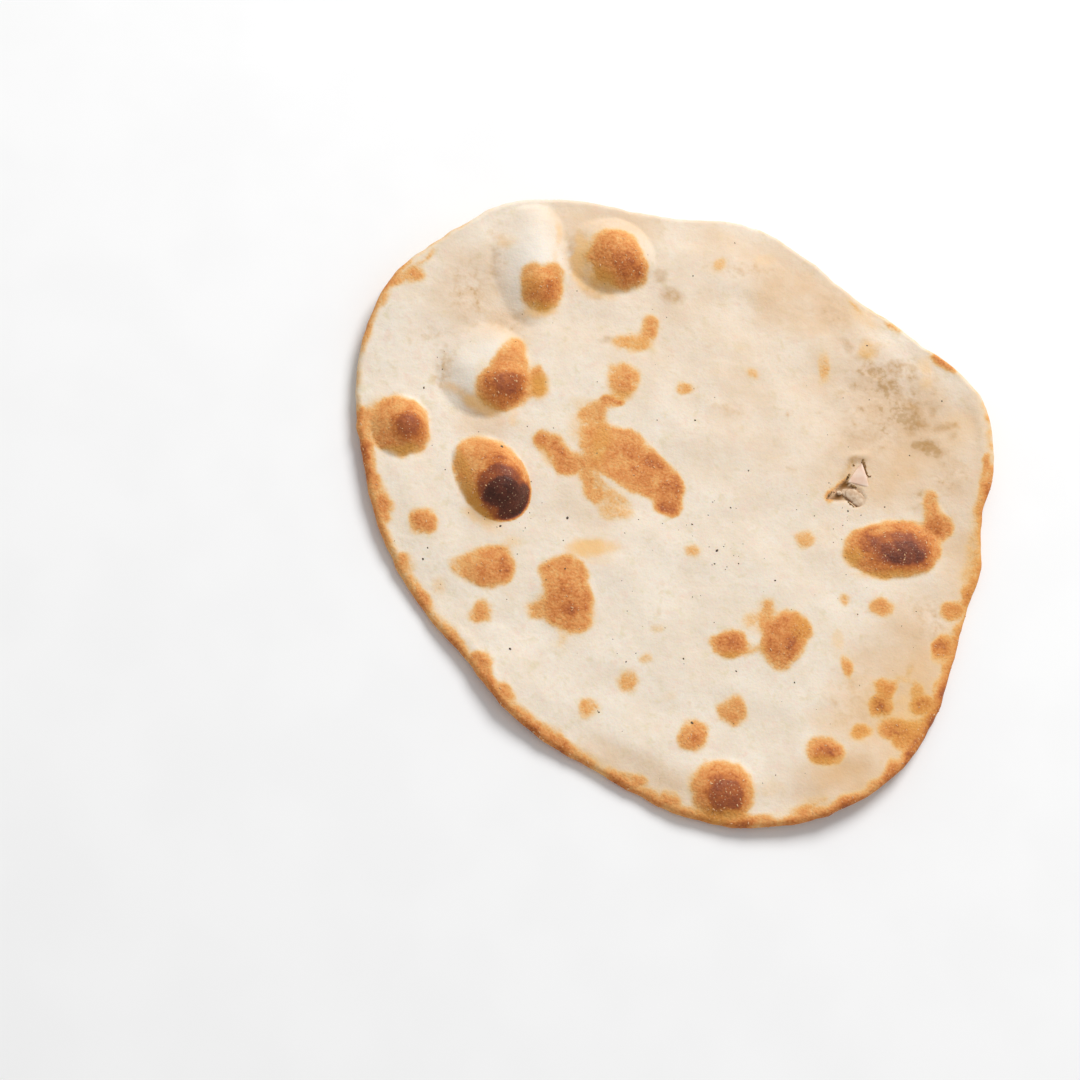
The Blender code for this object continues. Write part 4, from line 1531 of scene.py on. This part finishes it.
@dataclass
class TornSkin:
    """What the tear left standing: the folded flap, dark rolls along the tear that are singed edge and
    painted shadow, and lumps of crumb.
    """

    flap_foot: tuple[tuple[float, float], ...] = ((60.8, 11.4), (68.0, 9.9))
    flap_tip: tuple[float, float] = (65.3, 18.2)
    flap_lift: float = 0.65
    flap_root: float = 0.8  # how deep under the skin it starts
    flap_bend: float = 1.9  # in radians, from its foot to its tip
    flap_thickness: float = 0.6
    flap_slant: float = 0.45  # how much its right side stands over its middle
    flap_arch: float = 0.35  # how much its middle bulges
    flap_foot_curl: float = 0.3  # the share of slant and arch at its foot
    flap_taper: float = 1.1  # 1 is a straight-sided triangle
    flap_blunt: float = 0.03  # its tip's half width, as a share of its foot's width
    flap_ground: float = 1.5  # how far past its tip the skin's level is taken
    flap_rows: int = 18
    flap_sides: int = 28
    # Each dark roll as its bends: place along X and Y, height over the skin, and radius. The first two,
    # along the flap's raised right side, are painted shadow; the rest are singed torn edges, partly painted
    # crease shade.
    singed_and_shadow_lines: tuple[tuple[tuple[float, float, float, float], ...], ...] = (
        ((66.2, 20.4, 0.0, 0.25), (66.5, 19.2, 0.2, 0.75), (67.0, 17.4, 0.25, 0.5), (67.7, 14.6, 0.1, 0.25)),
        ((67.7, 14.6, 0.1, 0.2), (68.4, 14.0, 0.1, 0.22), (69.2, 14.1, 0.0, 0.4)),
        ((61.2, 14.6, 0.1, 0.3), (60.7, 13.4, 0.1, 0.45), (60.2, 12.6, 0.0, 0.3)),
        ((61.6, 10.6, 0.0, 0.3), (62.5, 10.1, 0.0, 0.5), (63.8, 9.5, 0.0, 0.25)),
        ((60.0, 4.1, 0.0, 0.3), (61.0, 3.2, 0.0, 0.35), (62.4, 1.9, 0.0, 0.25)),
        ((52.2, 4.5, 0.0, 0.3), (53.2, 6.0, 0.05, 0.4), (54.4, 7.4, 0.0, 0.3)),
        ((62.6, 18.3, 0.0, 0.2), (62.9, 18.0, 0.1, 0.35), (63.2, 17.7, 0.0, 0.2)),
    )
    roll_steps: int = 5  # rings for each bend
    roll_sides: int = 8
    roll_waver: float = 0.08
    roll_swell: float = 0.25
    roll_flatness: float = 0.7
    roll_rhythms: tuple[float, float, float] = (5.0, 4.0, 7.3)  # of its waver in X and Y and its swell
    roll_end: float = 0.4  # the share of the radius that its ends keep
    # Each lump: place along X and Y, height over the hole's floor, length, width, height and turn.
    lumps: tuple[tuple[float, ...], ...] = (
        (64.3, 4.9, 0.3, 6.0, 4.8, 1.4, -60),
        (62.4, 6.5, 0.35, 6.4, 4.6, 1.5, -35),
        (60.4, 7.5, 0.35, 4.6, 3.2, 1.3, -10),
        (57.1, 7.2, 0.6, 2.0, 1.5, 1.1, 0),
    )
    lump_rows: int = 14
    lump_sides: int = 26
    lump_ends: float = 0.05  # how far from its poles its rings end, in radians
    lump_radius: float = 3.0  # of the ball that its dents are worked out on
    lump_dents: tuple[Layers, Layers] = (((1.6, 0.14, 4),), ((0.7, 0.05, 6),))

    def build(self, bread: bpy.types.Object) -> list[bpy.types.Object]:
        """Build the pieces on the bread.

        Args:
            bread: the finished bread.

        Returns:
            The pieces.
        """
        skin = BVHTree.FromObject(bread, bpy.context.evaluated_depsgraph_get())
        return [
            self.piece("torn_flap", self.flap(skin), INNER_DOUGH),
            self.piece("singed_edges_and_shadow_lines", [self.tube(skin, bends) for bends in self.singed_and_shadow_lines], SINGED_EDGE_AND_SHADOW),
            self.piece("crumb_lumps", [self.lump(skin, lump) for lump in self.lumps], BREAD_CRUMB),
        ]

    @staticmethod
    def level(skin: BVHTree, x: float, y: float) -> float:
        """The skin's height at a place, in millimetres."""
        return skin.ray_cast(Vector((x, y, OVERHEAD)) * MM, Vector(DOWN))[0].z / MM

    @staticmethod
    def piece(name: str, shells: list[Array], finish: PlainFinish) -> bpy.types.Object:
        """Turn closed shells into one piece.

        Args:
            name: the piece's name.
            shells: each shell as rows of points, the first and last row closing on themselves.
            finish: its finish.

        Returns:
            The piece.
        """
        points, faces = [], []
        for shell in shells:
            rows, sides, _ = shell.shape
            numbers = np.arange(rows * sides).reshape(rows, sides) + len(points)
            points += shell.reshape(-1, 3).tolist()
            for low, high in zip(numbers, numbers[1:]):
                ring = zip(low, np.roll(low, -1), np.roll(high, -1), high)
                faces += [tuple(int(number) for number in face) for face in ring]
            faces += [tuple(int(number) for number in numbers[0][::-1])]
            faces += [tuple(int(number) for number in numbers[-1])]
        mesh = bpy.data.meshes.new(name)
        mesh.from_pydata((np.array(points) * MM).tolist(), [], faces)
        shape = bmesh.new()
        shape.from_mesh(mesh)
        bmesh.ops.recalc_face_normals(shape, faces=shape.faces[:])
        shape.to_mesh(mesh)
        shape.free()
        mesh.shade_smooth()
        mesh.materials.append(finish.material())
        return add_piece(name, mesh)

    def flap(self, skin: BVHTree) -> list[Array]:
        """The flap: a thin curved triangle, folded up from the hole's edge.

        Args:
            skin: the bread's skin.

        Returns:
            Its shell, as rings from its foot to its tip.
        """
        left, right = (np.array(corner) for corner in self.flap_foot)
        tip, foot = np.array(self.flap_tip), (left + right) / 2
        ground = self.level(skin, tip[0], tip[1] + self.flap_ground)
        round_ = np.linspace(0, math.tau, self.flap_sides, endpoint=False)
        across, over = np.cos(round_), np.sin(round_)
        curl = self.flap_slant * across + self.flap_arch * (1 - across**2)
        rings = []
        for share in np.linspace(0, 1, self.flap_rows):
            middle = foot + (tip - foot) * share
            half = (right - left) / 2 * (1 - share**self.flap_taper) + (right - left) * self.flap_blunt
            lift = -self.flap_root + (self.flap_lift + self.flap_root) * math.sin(self.flap_bend * share)
            rise = ground + lift + curl * (self.flap_foot_curl + share) + over * self.flap_thickness / 2
            rings.append(np.column_stack([middle + half * across[:, None], rise]))
        return [np.array(rings)]

    def tube(self, skin: BVHTree, bends: tuple[tuple[float, ...], ...]) -> Array:
        """A thin crooked dark roll along its bends, standing for a singed edge and for painted shadow along
        the flap's raised side.

        Args:
            skin: the bread's skin.
            bends: the places along X and Y, heights over the skin, and radii.

        Returns:
            Its shell.
        """
        bends = np.array(bends)
        steps = np.linspace(0, len(bends) - 1, self.roll_steps * len(bends))
        x, y, lift, radius = (np.interp(steps, np.arange(len(bends)), column) for column in bends.T)
        in_x, in_y, swell = (rhythm * steps for rhythm in self.roll_rhythms)
        x, y = x + self.roll_waver * np.sin(in_x), y + self.roll_waver * np.cos(in_y)
        turn = np.arctan2(np.gradient(y), np.gradient(x)) + math.pi / 2
        radius = radius * (1 + self.roll_swell * np.sin(swell))
        radius[[0, -1]] *= self.roll_end
        angle = np.linspace(0, math.tau, self.roll_sides, endpoint=False)
        height = np.array([self.level(skin, *place) for place in zip(x, y)]) + lift
        out, up = np.outer(radius, np.cos(angle)), np.outer(radius, np.sin(angle)) * self.roll_flatness
        x, y, height, turn = (column[:, None] for column in (x, y, height, turn))
        return np.stack([x + out * np.cos(turn), y + out * np.sin(turn), height + up], -1)

    def lump(self, skin: BVHTree, sizes: tuple[float, ...]) -> Array:
        """A torn lump of crumb.

        Args:
            skin: the bread's skin.
            sizes: a row of lumps.

        Returns:
            Its shell, as rings from its lowest to its highest.
        """
        x, y, lift, length, width, height, turn = sizes
        pole = math.pi / 2 - self.lump_ends
        tilt = np.linspace(-pole, pole, self.lump_rows)[:, None]
        round_ = np.linspace(0, math.tau, self.lump_sides, endpoint=False)[None, :]
        a, b, c = np.cos(tilt) * np.cos(round_), np.cos(tilt) * np.sin(round_), np.sin(tilt) + 0 * round_
        coarse, fine = self.lump_dents
        in_x, in_y, in_z = (part * self.lump_radius for part in (a, b, c))
        uneven = 1 + unevenness(in_x + x, in_y + y + c, coarse)
        uneven += unevenness(in_y + x, in_z + a, fine)
        spin = math.radians(turn)
        along, across = a * uneven * length / 2, b * uneven * width / 2
        places = (
            x + along * math.cos(spin) - across * math.sin(spin),
            y + along * math.sin(spin) + across * math.cos(spin),
            self.level(skin, x, y) + lift + c * uneven * height / 2,
        )
        return np.stack(places, -1)


@dataclass
class Specks:
    """Burnt flecks on the upper skin, from a rule, with the largest ones where they are seen."""

    largest: tuple[tuple[float, float, float], ...] = (
        (11.5, -17.5, 1.3), (10.5, -22.5, 0.8), (19, -22, 0.7), (17, -1, 0.8), (3, -8, 0.9),
        (-41.5, -8.5, 1.3), (-65, 15.5, 1.5), (-92.5, 36.5, 1.0), (-91.5, -26.5, 1.0), (-90, -22.5, 0.8),
        (-61.5, -57, 1.2), (1, -80, 1.3), (-1.5, -57.5, 0.9), (-21.5, -59.5, 0.8), (17, -61, 0.8),
        (32, -27.5, 0.9), (61.5, -38, 0.7), (60, 0.5, 1.0), (65, 4.2, 0.8), (73.5, 2.5, 0.8),
        (84, 23, 0.7), (97, 44.5, 0.8), (70, 65, 0.8), (5.5, 88.5, 0.8), (22, 104, 0.7),
        (-65, -13, 1.1), (-58, -7.5, 1.0), (5, 31.5, 1.0), (24, 13.5, 0.8), (-31, -77.5, 0.8),
        (37.5, -64, 0.8), (-42.5, -27.5, 0.9),
    )
    clusters: tuple[tuple[float, float, float], ...] = ((12, -17, 14), (56, 0, 12), (-60, -12, 10))
    scattered: int = 110
    reach: float = 104.0  # how far from the middle they are scattered
    clustered: int = 14
    sizes: Span = (0.28, 0.6)
    roughness: float = 0.3
    flatness: float = 0.4
    narrowness: float = 0.75
    roughness_grain: float = 0.5
    tumble: float = 0.5
    steepest: float = 0.5  # the least upward share of a skin's normal that holds a fleck
    seed: int = 21

    def places(self) -> Array:
        """Lay out the flecks.

        Returns:
            A row of X, Y and size for each.
        """
        random = np.random.default_rng(self.seed)
        rows = [list(row) for row in self.largest]
        for _ in range(self.scattered):
            turn, far = random.uniform(0, math.tau), self.reach * math.sqrt(random.uniform())
            rows.append([far * math.cos(turn), far * math.sin(turn), random.uniform(*self.sizes)])
        for x, y, spread in self.clusters:
            for _ in range(self.clustered):
                dx, dy = random.normal(0, spread / 2, 2)
                rows.append([x + dx, y + dy, random.uniform(*self.sizes)])
        return np.array(rows)

    def tree(self) -> bpy.types.NodeTree:
        """Build the tree: a rough flat crumb on each point, sized by the point's attribute.

        Returns:
            The tree.
        """
        tree, given = open_tree("burnt_flecks", ("Roughness", "Flatness"))
        size, facing = (
            add_node(tree, "GeometryNodeInputNamedAttribute", {"Name": name}, data_type=kind).outputs[0]
            for name, kind in (("size", "FLOAT"), ("facing", "FLOAT_VECTOR"))
        )
        ball = add_node(tree, "GeometryNodeMeshIcoSphere", {"Radius": 0.5, "Subdivisions": 1})
        turned = add_node(tree, "FunctionNodeAlignRotationToVector", {"Vector": facing}, axis="Z")
        inputs = {0: 1.0, 1: self.narrowness, 2: given.outputs["Flatness"]}
        flat = add_node(tree, "ShaderNodeCombineXYZ", inputs).outputs[0]
        scale = add_node(tree, "ShaderNodeVectorMath", {0: flat, "Scale": size}, operation="SCALE")
        grains = {
            "Points": given.outputs[0],
            "Instance": ball.outputs[0],
            "Rotation": turned.outputs[0],
            "Scale": scale.outputs[0],
        }
        crumbs = sprinkle(grains, given.outputs["Seed"], self.tumble)
        real = add_node(tree, "GeometryNodeRealizeInstances", {"Geometry": crumbs}).outputs[0]
        place = add_node(tree, "GeometryNodeInputPosition").outputs[0]
        inputs = {"Vector": place, "Scale": Pattern(self.roughness_grain).inputs()[0]}
        noise = add_node(tree, "ShaderNodeTexNoise", inputs).outputs["Color"]
        inputs = {0: noise, 1: (0.5, 0.5, 0.5)}
        centred = add_node(tree, "ShaderNodeVectorMath", inputs, operation="SUBTRACT").outputs[0]
        inputs = {0: centred, "Scale": given.outputs["Roughness"]}
        shift = add_node(tree, "ShaderNodeVectorMath", inputs, operation="SCALE").outputs[0]
        rough = add_node(tree, "GeometryNodeSetPosition", {"Geometry": real, "Offset": shift})
        close_tree(tree, rough.outputs[0], given.outputs["Material"])
        return tree

    def build(self, bread: bpy.types.Object) -> bpy.types.Object:
        """Lay the flecks on the bread.

        Args:
            bread: the finished bread.

        Returns:
            The piece.
        """
        skin = BVHTree.FromObject(bread, bpy.context.evaluated_depsgraph_get())
        points, normals, sizes = [], [], []
        for x, y, size in self.places():
            place, normal, _, _ = skin.ray_cast(Vector((x, y, OVERHEAD)) * MM, Vector(DOWN))
            if place is not None and normal.z > self.steepest:
                points.append(tuple(place))
                normals.append(normal)
                sizes.append(size * MM)
        base = bpy.data.meshes.new("fleck_points")
        base.from_pydata(points, [], [])
        base.attributes.new("size", "FLOAT", "POINT").data.foreach_set("value", sizes)
        facing = base.attributes.new("facing", "FLOAT_VECTOR", "POINT")
        facing.data.foreach_set("vector", np.array(normals, np.float32).ravel())
        values = {
            "Roughness": self.roughness * MM,
            "Flatness": self.flatness,
            "Seed": self.seed,
            "Material": BURNT_FLOUR.material(),
        }
        return add_piece("burnt_flecks", grown_mesh(base, self.tree(), values))


@dataclass
class FlourDustAndHighlights:
    """Loose grains of dusting flour that cling to the scorched skin, which also stand in as painted
    highlights.
    """

    per_area: float = 0.08  # grains for each square millimetre of fully scorched skin
    grain: float = 1.35
    smallest: float = 0.4  # grain's share of the largest
    shape: tuple[float, float, float] = (1.0, 0.45, 0.4)
    tumble: float = 0.3
    seed: int = 8

    def tree(self) -> bpy.types.NodeTree:
        """Build the tree: points by the attribute of flour and painted highlight specks, a small flat streak
        on each.

        Returns:
            The tree.
        """
        tree, given = open_tree("dusting_flour_and_highlights", ("Density", "Grain Size"))
        seed, grain = given.outputs["Seed"], given.outputs["Grain Size"]
        flour_and_highlight = add_node(tree, "GeometryNodeInputNamedAttribute", {"Name": "flour_and_highlight"}, data_type="FLOAT")
        inputs = {0: flour_and_highlight.outputs[0], 1: given.outputs["Density"]}
        density = add_node(tree, "ShaderNodeMath", inputs, operation="MULTIPLY").outputs[0]
        inputs = {"Mesh": given.outputs[0], "Density": density, "Seed": seed}
        points = add_node(tree, "GeometryNodeDistributePointsOnFaces", inputs)
        ball = add_node(tree, "GeometryNodeMeshIcoSphere", {"Radius": 0.5, "Subdivisions": 1})
        inputs = {"Geometry": ball.outputs[0], "Scale": self.shape}
        streak = add_node(tree, "GeometryNodeTransform", inputs)
        low = add_node(tree, "ShaderNodeMath", {0: grain, 1: self.smallest}, operation="MULTIPLY")
        inputs = {2: low.outputs[0], 3: grain, "Seed": seed}
        size = add_node(tree, "FunctionNodeRandomValue", inputs, data_type="FLOAT")
        grains = {
            "Points": points.outputs[0],
            "Instance": streak.outputs[0],
            "Rotation": points.outputs["Rotation"],
            "Scale": size.outputs[1],
        }
        close_tree(tree, sprinkle(grains, seed, self.tumble), given.outputs["Material"])
        return tree

    def build(self, bread: bpy.types.Object) -> bpy.types.Object:
        """Dust the bread.

        Args:
            bread: the finished bread.

        Returns:
            The piece.
        """
        values = {
            "Density": self.per_area / MM**2,
            "Grain Size": self.grain * MM,
            "Seed": self.seed,
            "Material": DUSTING_FLOUR_AND_HIGHLIGHTS.material(),
        }
        return add_piece("flour_dust_and_highlights", grown_mesh(bread.data.copy(), self.tree(), values))


# ---------------------------------------------------------------- studio


@dataclass
class Studio:
    """A plain pale floor, soft daylight from the upper right, and the photograph's camera."""

    floor_size: float = 6000.0
    floor_drop: float = 0.1
    lens: float = 70.0
    sensor: float = 36.0
    clip: Span = (0.01, 20.0)  # in metres
    photo_pixels: float = 1080.0
    pixel_size: float = 0.35  # millimetres of bread for each pixel, square to the view
    aim_pixel: tuple[float, float] = (674.0, 515.0)
    aim_point: tuple[float, float, float] = (-3.6, -5.15, 4.5)
    tilt: float = 22.0  # of the view from straight down
    side: float = 25.0  # of the tilt, from -Y towards -X
    key_bearing: float = 62.0
    key_height: float = 42.0
    key_size: float = 1200.0
    key_distance: float = 2400.0
    key_power: float = 51.0
    fill_strength: float = 0.47

    def camera(self) -> None:
        """Place the camera where the photograph was taken from."""
        tilt, side = math.radians(self.tilt), math.radians(self.side)
        low = math.sin(tilt)
        back = Vector((-math.sin(side) * low, -math.cos(side) * low, math.cos(tilt)))
        up = (Vector((0, 1, 0)) - back * back.y).normalized()
        right = up.cross(back)
        distance = self.photo_pixels * self.pixel_size * self.lens / self.sensor
        spread = self.sensor / self.lens / self.photo_pixels
        across = (self.aim_pixel[0] - self.photo_pixels / 2) * spread
        down = (self.aim_pixel[1] - self.photo_pixels / 2) * spread
        look = right * across - up * down - back
        place = Vector(self.aim_point) - look * distance
        data = bpy.data.cameras.new("camera")
        data.lens, data.sensor_width = self.lens, self.sensor
        data.clip_start, data.clip_end = self.clip
        camera = bpy.data.objects.new("camera", data)
        turn = Matrix((right, up, back)).transposed().to_4x4()
        camera.matrix_world = Matrix.Translation(place * MM) @ turn
        bpy.context.scene.collection.objects.link(camera)
        bpy.context.scene.camera = camera

    def lights(self) -> None:
        """Hang one large soft light and fill the rest with even white."""
        data = bpy.data.lights.new("key", "AREA")
        data.shape, data.size = "DISK", self.key_size * MM
        data.energy = self.key_power
        light = bpy.data.objects.new("key", data)
        turn, height = math.radians(self.key_bearing), math.radians(self.key_height)
        flat = math.cos(height)
        towards = Vector((math.cos(turn) * flat, math.sin(turn) * flat, math.sin(height)))
        light.location = towards * self.key_distance * MM
        light.rotation_euler = towards.to_track_quat("Z", "Y").to_euler()
        bpy.context.scene.collection.objects.link(light)
        world = bpy.context.scene.world or bpy.data.worlds.new("studio")
        bpy.context.scene.world = world
        world.use_nodes = True
        background = world.node_tree.nodes["Background"]
        background.inputs["Color"].default_value = (1.0, 1.0, 1.0, 1.0)
        background.inputs["Strength"].default_value = self.fill_strength
        bpy.context.scene.view_settings.view_transform = "Standard"

    def floor(self) -> bpy.types.Object:
        """Lay the floor.

        Returns:
            The floor.
        """
        shape = bmesh.new()
        bmesh.ops.create_grid(shape, x_segments=1, y_segments=1, size=self.floor_size / 2 * MM)
        bmesh.ops.translate(shape, verts=shape.verts[:], vec=(0, 0, -self.floor_drop * MM))
        mesh = bpy.data.meshes.new("floor")
        shape.to_mesh(mesh)
        shape.free()
        mesh.materials.append(WHITE_PAPER.material())
        return add_piece("floor", mesh)


def main() -> None:
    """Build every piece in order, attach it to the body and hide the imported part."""
    logging.basicConfig(level=logging.INFO, format="%(name)s: %(message)s")
    studio = Studio()
    studio.camera()
    studio.lights()
    studio.floor()

    packed = PackedBread(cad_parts[NODE])
    log.info("outline reaches %.1f to %.1f mm", packed.reaches.min(), packed.reaches.max())
    skin = Bread().mesh(packed)
    bread = add_piece("baked_naan", SkinRelief().apply(skin, BakedDough().material()))
    pieces = [bread, *TornSkin().build(bread), Specks().build(bread), FlourDustAndHighlights().build(bread)]
    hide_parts(NODE)
    for piece in pieces:
        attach(piece, BODY)
        piece.data.calc_loop_triangles()
        log.info("%s has %d triangles", piece.name, len(piece.data.loop_triangles))


if __name__ == "__main__":
    main()
